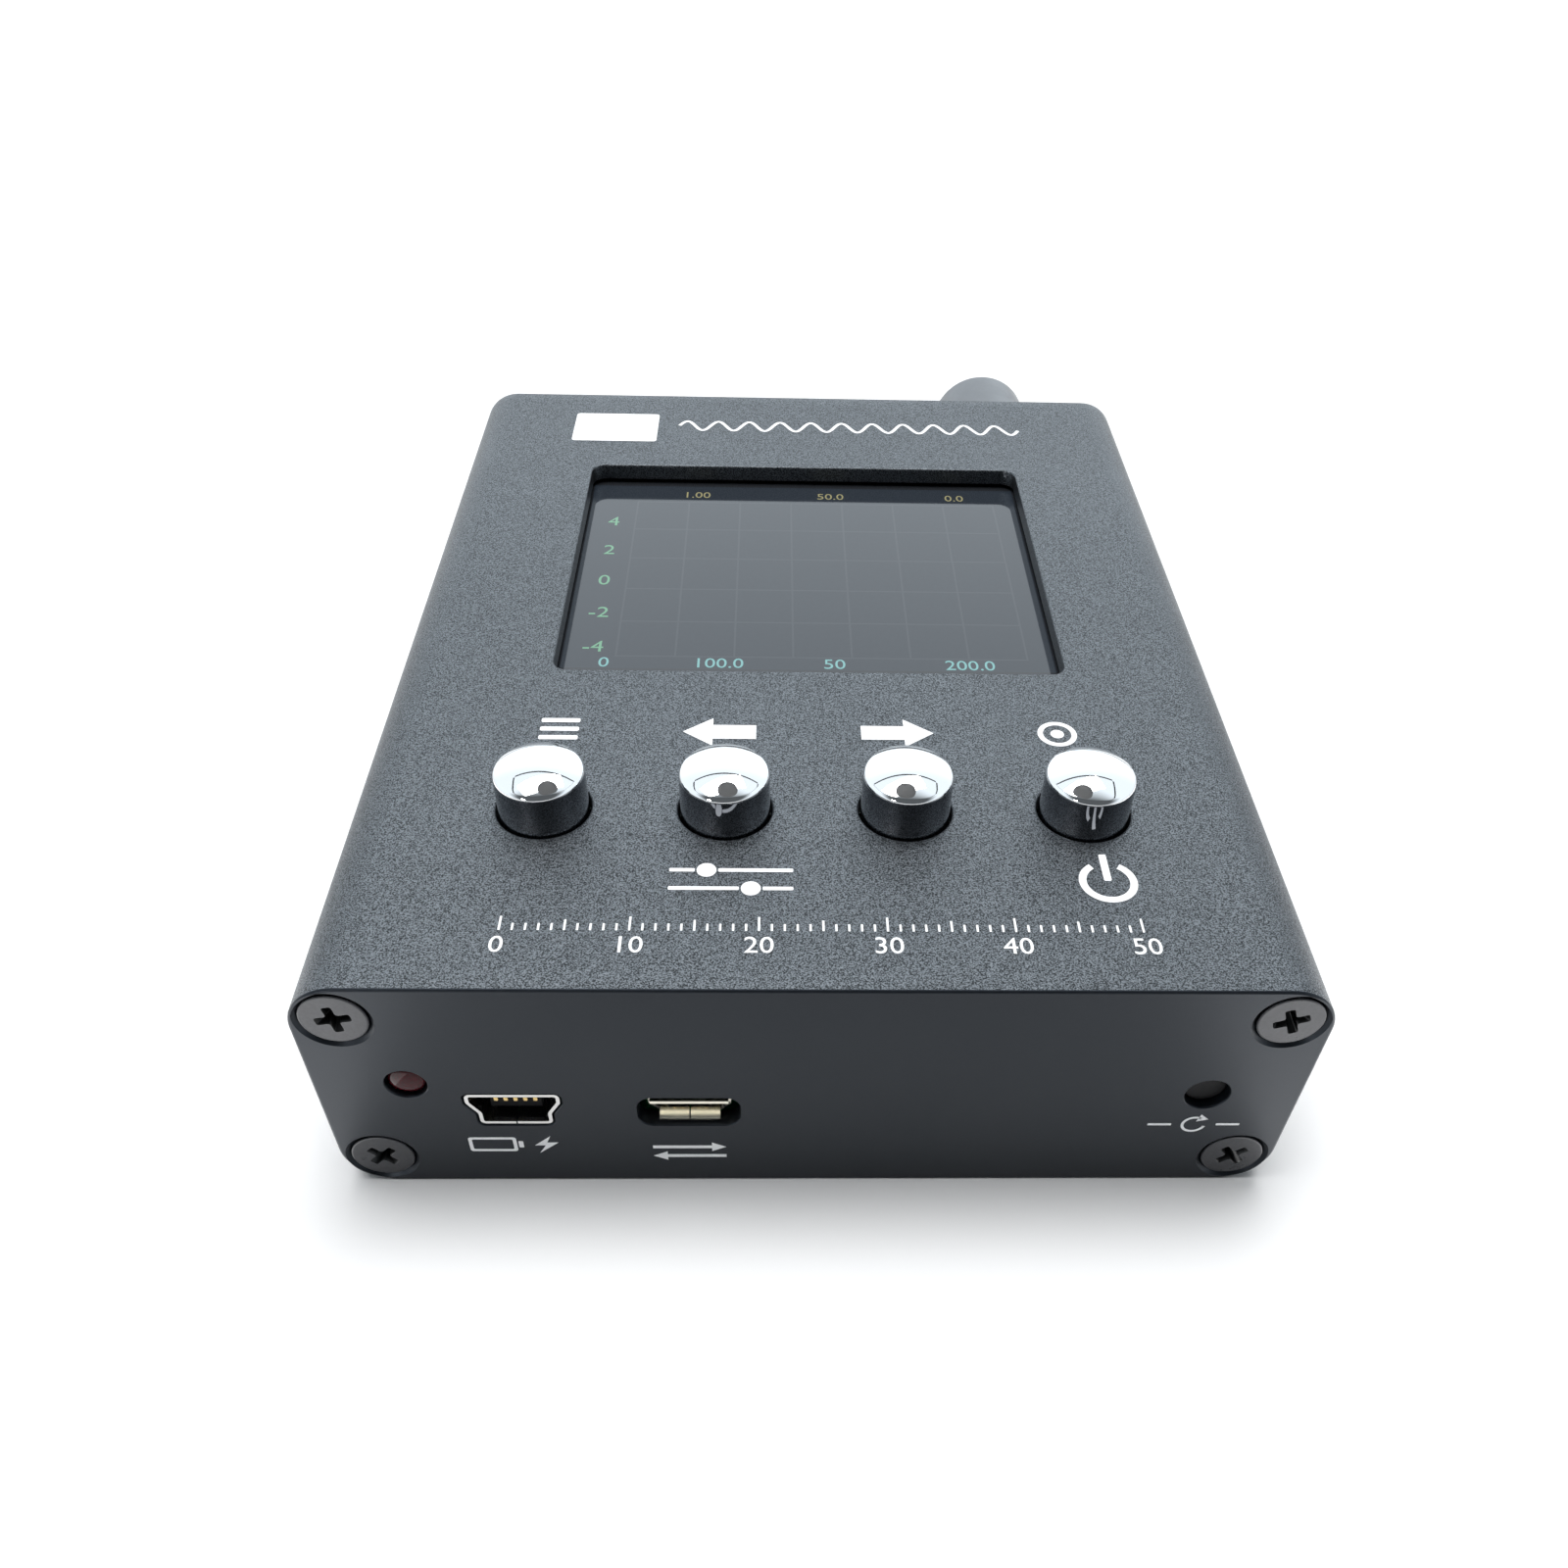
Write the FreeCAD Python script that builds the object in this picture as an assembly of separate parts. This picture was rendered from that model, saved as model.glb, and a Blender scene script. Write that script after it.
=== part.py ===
import FreeCAD, Part
import math
import os

# Handheld antenna analyzer: an aluminium extrusion closed by two end plates, four keys in front of a
# window on top, sockets in the front plate and one coaxial port under a cap at the back.
# Millimetres. X points right, Y away from the user, Z up. The origin is the centre of the overall
# box at its underside, where the case rests.

# Overall sizes
case_width = 80.0
case_height = 25.0
case_length = 100.0
cap_proud = 15.0
key_proud = 5.0

# Extruded case
case_wall = 1.8
case_corner_radius = 4.4
plate_thickness = 1.5
plate_edge_chamfer = 0.25
match_tolerance = 0.01
screw_inset = 3.5
screw_port_radius = 2.6
screw_port_slot = 1.5
guide_depth = 2.0
guide_thickness = 1.0

# End plate screws
screw_radius = 1.4
screw_head_radius = 2.75
screw_length = 8.0
screw_clearance = 0.1
countersink_clearance = 0.2

# Window and display
window_width = 49.2
window_length = 40.8
window_centre_x = 0.1
window_centre_y = 3.5
window_corner_radius = 1.5
edge_break = 0.2
glass_gap = 0.4
glass_thickness = 1.4
glass_width = 60.3
glass_length = 42.7
active_width = 49.0
display_centre_x = 0.1
display_centre_y = 4.8
display_left_border = 3.0
display_ledge = 2.0
display_tray_thickness = 1.0
display_pad_thickness = 1.0
display_board_thickness = 1.2
display_board_margin = 0.4
flex_thickness = 0.15
flex_width = 22.0
flex_reach = 5.0

# Circuit boards
board_thickness = 1.6
board_clearance = 0.1
board_edge_gap = 0.3
lower_board_top = 8.15
upper_board_setback = 9.0

# Keys
key_pitch = 15.3
key_centre_x = 0.15
key_y = -36.8
key_radius = 3.8
key_hole_gap = 0.22
key_edge_radius = 0.6
key_crown_height = 1.1
key_flange_overhang = 0.9
key_flange_thickness = 1.0
key_flange_drop = 1.2
key_travel = 0.3
switch_size = 6.0
switch_base_height = 3.1
switch_cover_thickness = 0.3
plunger_radius = 1.75
plunger_seat_depth = 3.0
plunger_running_gap = 0.1

# Mini socket
mini_x = -24.5
mini_width = 7.7
mini_height = 3.95
mini_foot_width = 6.0
mini_step_height = 1.4
mini_shoulder_height = 2.8
mini_corner_radius = 0.5
mini_length = 9.2
mini_recess = 0.1
socket_sheet = 0.3
socket_gap = 0.15
socket_base_gap = 0.05
socket_tab_length = 1.6
socket_tab_reach = 1.2
socket_back_depth = 2.1
socket_tongue_setback = 1.0
socket_contact_setback = 0.4
socket_contact_thickness = 0.15
mini_tab_setbacks = (1.0, 5.2)
mini_tongue_half_width = 2.1
mini_tongue_bottom = 1.1
mini_tongue_top = 2.2
mini_contact_pitch = 0.8
mini_contact_width = 0.4

# Micro socket
micro_x = -10.25
micro_width = 7.5
micro_height = 2.6
micro_foot_width = 5.4
micro_step_height = 1.1
micro_foot_radius = 0.4
micro_top_radius = 0.5
micro_length = 5.6
micro_recess = 0.45
micro_slot_width = 8.4
micro_slot_height = 3.7
micro_slot_radius = 1.3
micro_tab_setbacks = (1.6,)
micro_tongue_half_width = 1.9
micro_tongue_bottom = 0.85
micro_tongue_top = 1.45
micro_contact_pitch = 0.65
micro_contact_width = 0.35

# Charge lamp
led_x = -32.6
led_z = 13.6
led_radius = 1.5
led_flange_radius = 1.9
led_flange_thickness = 1.0
led_length = 5.3
led_recess = 0.1
led_hole_gap = 0.17
led_lead_size = 0.5
led_lead_pitch = 2.54
led_lead_reach = 1.6

# Reset switch
reset_x = 32.2
reset_z = 12.3
reset_hole_radius = 1.85
reset_plunger_gap = 0.1
reset_plunger_recess = 0.8
reset_travel = 0.25
reset_body_setback = 1.1
reset_body_depth = 3.4
reset_cover_thickness = 0.3

# Coaxial port
rf_x = 25.0
rf_z = 15.6
rf_thread_radius = 5.55
rf_hole_gap = 0.15
rf_flange_overhang = 0.95
rf_flange_thickness = 2.2
rf_block_size = 9.0
rf_block_thickness = 2.2
rf_leg_size = 1.2
rf_leg_length = 4.5
rf_leg_offset = 3.2
rf_barrel_wall = 1.5
rf_bore_depth = 9.5
rf_dielectric_radius = 2.05
rf_sleeve_radius = 2.4
rf_shelf_thickness = 1.0
rf_sleeve_setback = 3.0
rf_pin_radius = 0.635
rf_contact_radius = 1.1
rf_contact_bore = 0.7
rf_contact_bore_depth = 5.0
rf_pin_setback = 0.5
rf_contact_recess = 0.2
rf_block_inset = 1.0
rf_end_break = 0.3
washer_overhang = 1.75
washer_thickness = 0.6
nut_wall = 1.45
nut_thickness = 2.3
nut_chamfer_overhang = 0.6
cap_wall = 0.65
cap_running_gap = 0.05
cap_end_thickness = 0.8
cap_end_gap = 0.3
cap_nut_gap = 0.2
cap_edge_radius = 0.4

# Battery between the boards
battery_width = 34.0
battery_length = 50.0
battery_thickness = 4.4
battery_corner_radius = 2.0
battery_tape_gap = 0.25
battery_left_x = -34.0
battery_front_y = -40.0
lead_radius = 0.6
lead_pitch = 2.0
lead_x = -20.0
lead_run_y = 18.0
battery_socket_depth = 6.0
battery_socket_height = 4.2
battery_plug_length = 4.6
battery_plug_margin = 0.6
battery_plug_half_height = 1.6
battery_plug_gap = 0.1
battery_socket_wall = 0.8
battery_socket_setback = 1.0

# Board headers and chips
header_pitch = 2.54
board_header_columns = 5
board_header_rows = 2
board_header_x = 14.0
board_header_y = 27.0
display_header_pins = 14
chip_corner_radius = 0.25
main_chip_size = 10.0
main_chip_height = 1.4
main_chip_x = -12.0
main_chip_y = 12.0
charger_chip_width = 5.0
charger_chip_length = 4.0
charger_chip_height = 1.5
charger_chip_x = -17.0
charger_chip_y = -46.5
shield_width = 20.0
shield_length = 16.0
shield_height = 2.6
shield_sheet = 0.25
shield_gap_to_leads = 0.8
shield_vent_width = 1.6
shield_vent_length = 6.0
shield_vent_pitch = 4.0

# Places worked out from the sizes above
front_y = -(case_length + cap_proud) / 2
rear_y = front_y + case_length
tube_front_y = front_y + plate_thickness
tube_rear_y = rear_y - plate_thickness
half_width = case_width / 2
inner_half_width = half_width - case_wall
inner_top = case_height - case_wall
key_top = case_height + key_proud
key_flange_radius = key_radius + key_flange_overhang
screw_x = half_width - screw_inset
lower_board_bottom = lower_board_top - board_thickness
upper_board_top = rf_z - rf_pin_radius
upper_board_bottom = upper_board_top - board_thickness
board_half_width = inner_half_width - board_edge_gap
glass_top = inner_top - glass_gap
glass_bottom = glass_top - glass_thickness
tray_bottom = glass_bottom - display_tray_thickness
pad_bottom = tray_bottom - display_pad_thickness
display_board_bottom = pad_bottom - display_board_thickness
glass_left_x = display_centre_x - active_width / 2 - display_left_border
glass_right_x = glass_left_x + glass_width
glass_front_y = display_centre_y - glass_length / 2
glass_back_y = display_centre_y + glass_length / 2
key_x = [key_centre_x + key_pitch * (i - 1.5) for i in range(4)]
key_flange_top = inner_top - key_flange_drop
key_bottom = key_flange_top - key_flange_thickness
switch_cover_top = upper_board_top + switch_base_height + switch_cover_thickness
plunger_top = key_bottom + plunger_seat_depth
rf_flange_radius = rf_thread_radius + rf_flange_overhang
rf_bore_radius = rf_thread_radius - rf_barrel_wall
washer_radius = rf_thread_radius + washer_overhang
nut_across_flats = 2 * (rf_thread_radius + nut_wall)
nut_chamfer_radius = nut_across_flats / 2 + nut_chamfer_overhang
cap_radius = rf_thread_radius + cap_running_gap + cap_wall
rf_flange_front = tube_rear_y - rf_flange_thickness
rf_block_front = rf_flange_front - rf_block_thickness
cap_end_y = rear_y + cap_proud
cap_inner_y = cap_end_y - cap_end_thickness
rf_end_y = cap_inner_y - cap_end_gap
nut_front_y = rear_y + washer_thickness
nut_rear_y = nut_front_y + nut_thickness
cap_front_y = nut_rear_y + cap_nut_gap
upper_board_front = tube_front_y + upper_board_setback
upper_board_rear = rf_block_front - board_edge_gap / 2
lower_board_front = tube_front_y + board_edge_gap
lower_board_rear = tube_rear_y - board_edge_gap


def point(x, y, z):
    return FreeCAD.Vector(x, y, z)


ALONG_Y = point(0, 1, 0)
ALONG_Z = point(0, 0, 1)


def block(x0, x1, y0, y1, z0, z1):
    return Part.makeBox(x1 - x0, y1 - y0, z1 - z0, point(x0, y0, z0))


def rod(radius, start, direction, length):
    return Part.makeCylinder(radius, length, start, direction)


def rounded_outline(corners, place):
    """A closed wire round (u, v, radius) corners, each turned by a tangent arc; place(u, v) is the point."""
    edges = []
    ends = []
    count = len(corners)
    for i in range(count):
        before, here, after = corners[i - 1], corners[i], corners[(i + 1) % count]
        corner = FreeCAD.Vector(here[0], here[1], 0)
        back = (FreeCAD.Vector(before[0], before[1], 0) - corner).normalize()
        ahead = (FreeCAD.Vector(after[0], after[1], 0) - corner).normalize()
        half_angle = back.getAngle(ahead) / 2
        radius = here[2]
        reach = radius / math.tan(half_angle)
        bisector = (back + ahead).normalize()
        middle = corner + bisector * (radius / math.sin(half_angle) - radius)
        ends.append((corner + back * reach, middle, corner + ahead * reach, radius))
    for i in range(count):
        start, middle, end, radius = ends[i]
        following = ends[(i + 1) % count][0]
        if radius > 0:
            arc = Part.Arc(place(start.x, start.y), place(middle.x, middle.y), place(end.x, end.y))
            edges.append(arc.toShape())
        if (following - end).Length > 1e-6:
            edges.append(Part.makeLine(place(end.x, end.y), place(following.x, following.y)))
    return Part.Wire(edges)


def on_front(y):
    """Places an outline of (x, z) pairs in the upright plane at y."""
    return lambda x, z: point(x, y, z)


def on_level(z):
    """Places an outline of (x, y) pairs in the level plane at z."""
    return lambda x, y: point(x, y, z)


def rectangle_corners(u0, u1, v0, v1, radius):
    return [(u0, v0, radius), (u1, v0, radius), (u1, v1, radius), (u0, v1, radius)]


def upright_slab(corners, y0, y1):
    face = Part.Face(rounded_outline(corners, on_front(y0)))
    return face.extrude(point(0, y1 - y0, 0))


def level_slab(corners, z0, z1):
    face = Part.Face(rounded_outline(corners, on_level(z0)))
    return face.extrude(point(0, 0, z1 - z0))


def revolved(profile, axis_point, direction):
    """Turns a closed list of points once round the axis."""
    outline = Part.makePolygon(profile + [profile[0]])
    return Part.Face(outline).revolve(axis_point, direction, 360)


def about_y(pairs, x, z):
    """A solid of revolution about the line through (x, z) along Y, from (radius, y) pairs."""
    profile = [point(x + radius, y, z) for radius, y in pairs]
    return revolved(profile, point(x, 0, z), ALONG_Y)


def about_z(pairs, x, y):
    """A solid of revolution about the upright line through (x, y), from (radius, z) pairs."""
    profile = [point(x + radius, y, z) for radius, z in pairs]
    return revolved(profile, point(x, y, 0), ALONG_Z)


def screw_places():
    lower = screw_inset
    upper = case_height - screw_inset
    return [(-screw_x, lower), (screw_x, lower), (-screw_x, upper), (screw_x, upper)]


# Extruded case

def disc(radius, x, z):
    return Part.Face(Part.Wire(Part.makeCircle(radius, point(x, tube_front_y, z), ALONG_Y)))


def screw_port_void(x, z):
    """The bore of one screw port, and the slot that opens it towards the middle of the case."""
    bore = disc(screw_radius + screw_clearance, x, z)
    inward_x = -math.copysign(1, x)
    inward_z = math.copysign(1, case_height / 2 - z)
    half = screw_port_slot / 2
    reach = screw_port_radius + guide_thickness
    corners = [(0, -half), (reach, -half), (reach, half), (0, half)]
    turn = math.atan2(inward_z, inward_x)
    cos_turn, sin_turn = math.cos(turn), math.sin(turn)
    places = [
        point(x + u * cos_turn - v * sin_turn, tube_front_y, z + u * sin_turn + v * cos_turn)
        for u, v in corners
    ]
    slot = Part.Face(Part.makePolygon(places + [places[0]]))
    return bore.fuse(slot)


def guide_faces():
    """Ribs on both side walls, in pairs that hold the edges of the two boards."""
    faces = []
    for bottom, top in ((lower_board_bottom, lower_board_top), (upper_board_bottom, upper_board_top)):
        for z0 in (bottom - board_clearance - guide_thickness, top + board_clearance):
            for side in (-1, 1):
                wall = side * (inner_half_width + case_wall / 2)
                tip = side * (inner_half_width - guide_depth)
                left, right = min(wall, tip), max(wall, tip)
                corners = rectangle_corners(left, right, z0, z0 + guide_thickness, guide_thickness / 4)
                faces.append(Part.Face(rounded_outline(corners, on_front(tube_front_y))))
    return faces


def case_profile():
    """The cross-section of the extrusion, drawn at its front end."""
    outer_corners = rectangle_corners(-half_width, half_width, 0, case_height, case_corner_radius)
    outer = Part.Face(rounded_outline(outer_corners, on_front(tube_front_y)))
    inner_corners = rectangle_corners(
        -inner_half_width, inner_half_width, case_wall, inner_top, case_corner_radius - case_wall
    )
    inner = Part.Face(rounded_outline(inner_corners, on_front(tube_front_y)))
    profile = outer.cut(inner)
    for x, z in screw_places():
        profile = profile.fuse(disc(screw_port_radius, x, z).common(outer))
    for rib in guide_faces():
        profile = profile.fuse(rib)
    for x, z in screw_places():
        profile = profile.cut(screw_port_void(x, z))
    return profile.removeSplitter().Faces[0]


def window_corners(grow):
    half_x = window_width / 2 + grow
    half_y = window_length / 2 + grow
    return rectangle_corners(
        window_centre_x - half_x,
        window_centre_x + half_x,
        window_centre_y - half_y,
        window_centre_y + half_y,
        window_corner_radius + grow,
    )


def make_case_tube():
    tube = case_profile().extrude(point(0, tube_rear_y - tube_front_y, 0))
    above = case_height + edge_break
    below = inner_top - edge_break
    tube = tube.cut(level_slab(window_corners(0), below, above))
    lower_edge = rounded_outline(window_corners(0), on_level(case_height - edge_break))
    upper_edge = rounded_outline(window_corners(2 * edge_break), on_level(above))
    tube = tube.cut(Part.makeLoft([lower_edge, upper_edge], True, True))
    for x in key_x:
        hole_radius = key_radius + key_hole_gap
        tube = tube.cut(rod(hole_radius, point(x, key_y, below), ALONG_Z, above - below))
    return tube.removeSplitter()


# End plates and their screws

def plate_blank(y0, y1, outer_y):
    corners = rectangle_corners(-half_width, half_width, 0, case_height, case_corner_radius)
    plate = upright_slab(corners, y0, y1)
    rim = [edge for edge in plate.Edges if abs(edge.BoundBox.YMin - outer_y) < 1e-6
           and abs(edge.BoundBox.YMax - outer_y) < 1e-6]
    return plate.makeChamfer(plate_edge_chamfer, rim)


def countersink(x, z, outer_y, inward):
    """The hole for one screw: a cone that takes the head and a bore that clears the shank."""
    mouth = screw_head_radius + countersink_clearance
    bore = screw_radius + 2 * screw_clearance
    start = point(x, outer_y, z)
    direction = point(0, inward, 0)
    cone = Part.makeCone(mouth, bore, mouth - bore, start, direction)
    return cone.fuse(rod(bore, start, direction, plate_thickness))


def mini_corners(bottom):
    foot, half = mini_foot_width / 2, mini_width / 2
    waist, shoulder = mini_step_height, mini_shoulder_height
    turn = mini_corner_radius
    right = [(foot, 0, turn), (foot, waist, turn), (half, shoulder, turn), (half, mini_height, turn)]
    left = [(-x, z, radius) for x, z, radius in reversed(right)]
    return [(mini_x + x, bottom + z, radius) for x, z, radius in right + left]


def micro_corners(bottom):
    foot, half = micro_foot_width / 2, micro_width / 2
    turn = micro_foot_radius
    right = [(foot, 0, turn), (half, micro_step_height, turn), (half, micro_height, micro_top_radius)]
    left = [(-x, z, radius) for x, z, radius in reversed(right)]
    return [(micro_x + x, bottom + z, radius) for x, z, radius in right + left]


def grown_slab(corners, grow, y0, y1):
    """An upright slab whose outline lies grow outside the given corners, or inside if negative."""
    outline = rounded_outline(corners, on_front(y0))
    face = Part.Face(outline.makeOffset2D(grow))
    return face.extrude(point(0, y1 - y0, 0))


def socket_bottom():
    return lower_board_top + socket_base_gap


def make_front_plate():
    plate = plate_blank(front_y, tube_front_y, front_y)
    for x, z in screw_places():
        plate = plate.cut(countersink(x, z, front_y, 1))
    plate = plate.cut(grown_slab(mini_corners(socket_bottom()), socket_gap, front_y, tube_front_y))
    half_x = micro_slot_width / 2
    slot_bottom = socket_bottom() - socket_gap
    slot = rectangle_corners(
        micro_x - half_x, micro_x + half_x, slot_bottom, slot_bottom + micro_slot_height, micro_slot_radius
    )
    plate = plate.cut(upright_slab(slot, front_y, tube_front_y))
    plate = plate.cut(rod(led_radius + led_hole_gap, point(led_x, front_y, led_z), ALONG_Y, plate_thickness))
    plate = plate.cut(rod(reset_hole_radius, point(reset_x, front_y, reset_z), ALONG_Y, plate_thickness))
    return plate


def make_rear_plate():
    plate = plate_blank(tube_rear_y, rear_y, rear_y)
    for x, z in screw_places():
        plate = plate.cut(countersink(x, z, rear_y, -1))
    hole_radius = rf_thread_radius + rf_hole_gap
    return plate.cut(rod(hole_radius, point(rf_x, tube_rear_y, rf_z), ALONG_Y, plate_thickness))


def plate_screw(x, z, outer_y, inward):
    """A countersunk screw, its head level with the plate."""
    start = point(x, outer_y, z)
    direction = point(0, inward, 0)
    head = Part.makeCone(screw_head_radius, screw_radius, screw_head_radius - screw_radius, start, direction)
    return head.fuse(rod(screw_radius, start, direction, screw_length)).removeSplitter()


def make_plate_screws(outer_y, inward):
    return Part.makeCompound([plate_screw(x, z, outer_y, inward) for x, z in screw_places()])


# Circuit boards

def make_lower_board():
    return block(
        -board_half_width, board_half_width, lower_board_front, lower_board_rear,
        lower_board_bottom, lower_board_top,
    )


def make_upper_board():
    return block(
        -board_half_width, board_half_width, upper_board_front, upper_board_rear,
        upper_board_bottom, upper_board_top,
    )


# Display

def display_stack_slab(x0, x1, margin, z0, z1):
    return block(x0, x1, glass_front_y + margin, glass_back_y - margin, z0, z1)


def make_display_glass():
    """Two bonded panes: the lower one runs on as a ledge for the flexible tail."""
    lower_z = glass_bottom + glass_thickness / 2
    lower = display_stack_slab(glass_left_x, glass_right_x, 0, glass_bottom, lower_z)
    upper = display_stack_slab(glass_left_x, glass_right_x - display_ledge, 0, lower_z, glass_top)
    return lower.fuse(upper).removeSplitter()


def make_display_tray():
    return display_stack_slab(
        glass_left_x, glass_right_x - display_ledge, 0, tray_bottom, glass_bottom
    )


def make_display_pad():
    right = glass_right_x - display_ledge - flex_reach
    return display_stack_slab(glass_left_x, right, 2 * display_board_margin, pad_bottom, tray_bottom)


def make_display_board():
    left = glass_left_x - display_board_margin
    right = glass_right_x - display_board_margin
    return block(
        left, right, glass_front_y - display_board_margin, glass_back_y + display_board_margin,
        display_board_bottom, pad_bottom,
    )


def make_display_flex():
    """The flexible tail: under the glass ledge, round a half turn and back onto the display board."""
    upper = glass_bottom
    lower = pad_bottom
    outer_radius = (upper - lower) / 2
    inner_radius = outer_radius - flex_thickness
    centre_z = (upper + lower) / 2
    bend_x = glass_right_x - outer_radius / 2
    y0 = display_centre_y - flex_width / 2
    turn = rod(outer_radius, point(bend_x, y0, centre_z), ALONG_Y, flex_width)
    turn = turn.cut(rod(inner_radius, point(bend_x, y0, centre_z), ALONG_Y, flex_width))
    turn = turn.common(block(bend_x, bend_x + 2 * outer_radius, y0, y0 + flex_width, lower, upper))
    ledge_x = glass_right_x - display_ledge + board_clearance
    top_run = block(ledge_x, bend_x, y0, y0 + flex_width, upper - flex_thickness, upper)
    low_run = block(ledge_x - flex_reach, bend_x, y0, y0 + flex_width, lower, lower + flex_thickness)
    return turn.fuse([top_run, low_run]).removeSplitter()


def header_strip(x, y, columns, rows, z0, z1):
    """A pin header's plastic body: square cells joined in a row, their corners cut off."""
    cell = header_pitch
    cut = cell / 5
    cells = []
    for column in range(columns):
        for row in range(rows):
            left, front = x + column * cell, y + row * cell
            right, back = left + cell, front + cell
            outline = [
                (left + cut, front), (right - cut, front), (right, front + cut), (right, back - cut),
                (right - cut, back), (left + cut, back), (left, back - cut), (left, front + cut),
            ]
            corners = [point(u, v, z0) for u, v in outline]
            face = Part.Face(Part.makePolygon(corners + [corners[0]]))
            cells.append(face.extrude(point(0, 0, z1 - z0)))
    return cells[0].fuse(cells[1:]).removeSplitter()


def make_display_header():
    x = glass_left_x + display_board_margin
    y = display_centre_y - display_header_pins * header_pitch / 2
    return header_strip(x, y, 1, display_header_pins, upper_board_top, display_board_bottom)


def make_board_header():
    return header_strip(
        board_header_x, board_header_y, board_header_columns, board_header_rows,
        lower_board_top, upper_board_bottom,
    )


# Keys and their switches

def make_key_cap(x):
    """A plated cap: a round post with a domed crown, a flange under the case and a bore on its plunger."""
    crown_edge = key_top - key_crown_height
    sphere_radius = (key_radius ** 2 + key_crown_height ** 2) / (2 * key_crown_height)
    post = rod(key_radius, point(x, key_y, key_bottom), ALONG_Z, key_top - key_bottom)
    ball = Part.makeSphere(sphere_radius, point(x, key_y, key_top - sphere_radius))
    straight = rod(key_radius, point(x, key_y, key_bottom), ALONG_Z, crown_edge - key_bottom)
    post = post.common(ball.fuse(straight))
    rim = [edge for edge in post.Edges if abs(edge.BoundBox.ZMin - crown_edge) < match_tolerance
           and abs(edge.BoundBox.ZMax - crown_edge) < match_tolerance]
    post = post.makeFillet(key_edge_radius, rim)
    flange = rod(key_flange_radius, point(x, key_y, key_bottom), ALONG_Z, key_flange_thickness)
    bore = rod(plunger_radius, point(x, key_y, key_bottom), ALONG_Z, plunger_seat_depth)
    return post.fuse(flange).cut(bore).removeSplitter()


def make_key_plunger(x):
    collar_radius = plunger_radius + 2 * plunger_running_gap
    low = upper_board_top + switch_base_height - 2 * key_travel
    step = switch_cover_top - switch_cover_thickness - plunger_running_gap
    pairs = [(0, low), (collar_radius, low), (collar_radius, step), (plunger_radius, step),
             (plunger_radius, plunger_top), (0, plunger_top)]
    return about_z(pairs, x, key_y)


def switch_corners(x, y):
    half = switch_size / 2
    return rectangle_corners(x - half, x + half, y - half, y + half, 0)


def make_switch_bases():
    bases = []
    well_radius = plunger_radius + 4 * plunger_running_gap
    well_depth = 5 * key_travel
    top = upper_board_top + switch_base_height
    for x in key_x:
        base = level_slab(switch_corners(x, key_y), upper_board_top, top)
        bases.append(base.cut(rod(well_radius, point(x, key_y, top - well_depth), ALONG_Z, well_depth)))
    return Part.makeCompound(bases)


def make_switch_covers():
    covers = []
    bottom = upper_board_top + switch_base_height
    hole_radius = plunger_radius + plunger_running_gap
    for x in key_x:
        cover = level_slab(switch_corners(x, key_y), bottom, switch_cover_top)
        covers.append(cover.cut(rod(hole_radius, point(x, key_y, bottom), ALONG_Z, switch_cover_thickness)))
    return Part.makeCompound(covers)


# Sockets in the front plate

def socket_shell(corners, length, recess):
    """A folded metal shell, open in front and closed at the back."""
    y0 = front_y + recess
    outer = upright_slab(corners, y0, y0 + length)
    return outer.cut(grown_slab(corners, -socket_sheet, y0, y0 + length - socket_sheet))


def shell_tabs(x, half, rise, setbacks):
    """Solder tabs bent out from the sides of a shell, rise above its foot, down onto the board."""
    tabs = []
    low = lower_board_top
    for setback in setbacks:
        y = tube_front_y + setback
        for side in (-1, 1):
            inner, outer = x + side * (half - socket_sheet), x + side * (half + socket_tab_reach)
            left, right = min(inner, outer), max(inner, outer)
            foot = block(left, right, y, y + socket_tab_length, low, low + socket_sheet)
            wall = side * half + x
            wall_left, wall_right = min(wall, wall - side * socket_sheet), max(wall, wall - side * socket_sheet)
            top = low + rise + 2 * socket_sheet
            riser = block(wall_left, wall_right, y, y + socket_tab_length, low, top)
            tabs.append(foot.fuse(riser))
    return tabs


def make_mini_shell():
    shell = socket_shell(mini_corners(socket_bottom()), mini_length, mini_recess)
    tabs = shell_tabs(mini_x, mini_width / 2, mini_shoulder_height, mini_tab_setbacks)
    return shell.fuse(tabs).removeSplitter()


def make_micro_shell():
    shell = socket_shell(micro_corners(socket_bottom()), micro_length, micro_recess)
    tabs = shell_tabs(micro_x, micro_width / 2, micro_step_height, micro_tab_setbacks)
    return shell.fuse(tabs).removeSplitter()


def socket_insert(corners, x, length, recess, tongue_half, tongue_low, tongue_high):
    """The moulded insert: a block that fills the back of the shell and a tongue reaching forward."""
    back_end = front_y + recess + length - socket_sheet
    back_start = back_end - socket_back_depth
    back_block = grown_slab(corners, -socket_sheet, back_start, back_end)
    tongue_front = front_y + recess + socket_tongue_setback
    tongue = block(x - tongue_half, x + tongue_half, tongue_front, back_start,
                   socket_bottom() + tongue_low, socket_bottom() + tongue_high)
    return back_block.fuse(tongue).removeSplitter()


def socket_contacts(x, length, recess, pitch, width, tongue_high):
    """Five flat contacts that lie on the tongue."""
    contacts = []
    y0 = front_y + recess + socket_tongue_setback + socket_contact_setback
    y1 = front_y + recess + length - socket_sheet - socket_back_depth
    z0 = socket_bottom() + tongue_high
    for i in range(5):
        centre = x + pitch * (i - 2)
        left, right = centre - width / 2, centre + width / 2
        contacts.append(block(left, right, y0, y1, z0, z0 + socket_contact_thickness))
    return Part.makeCompound(contacts)


def make_mini_insert():
    return socket_insert(mini_corners(socket_bottom()), mini_x, mini_length, mini_recess,
                         mini_tongue_half_width, mini_tongue_bottom, mini_tongue_top)


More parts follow.
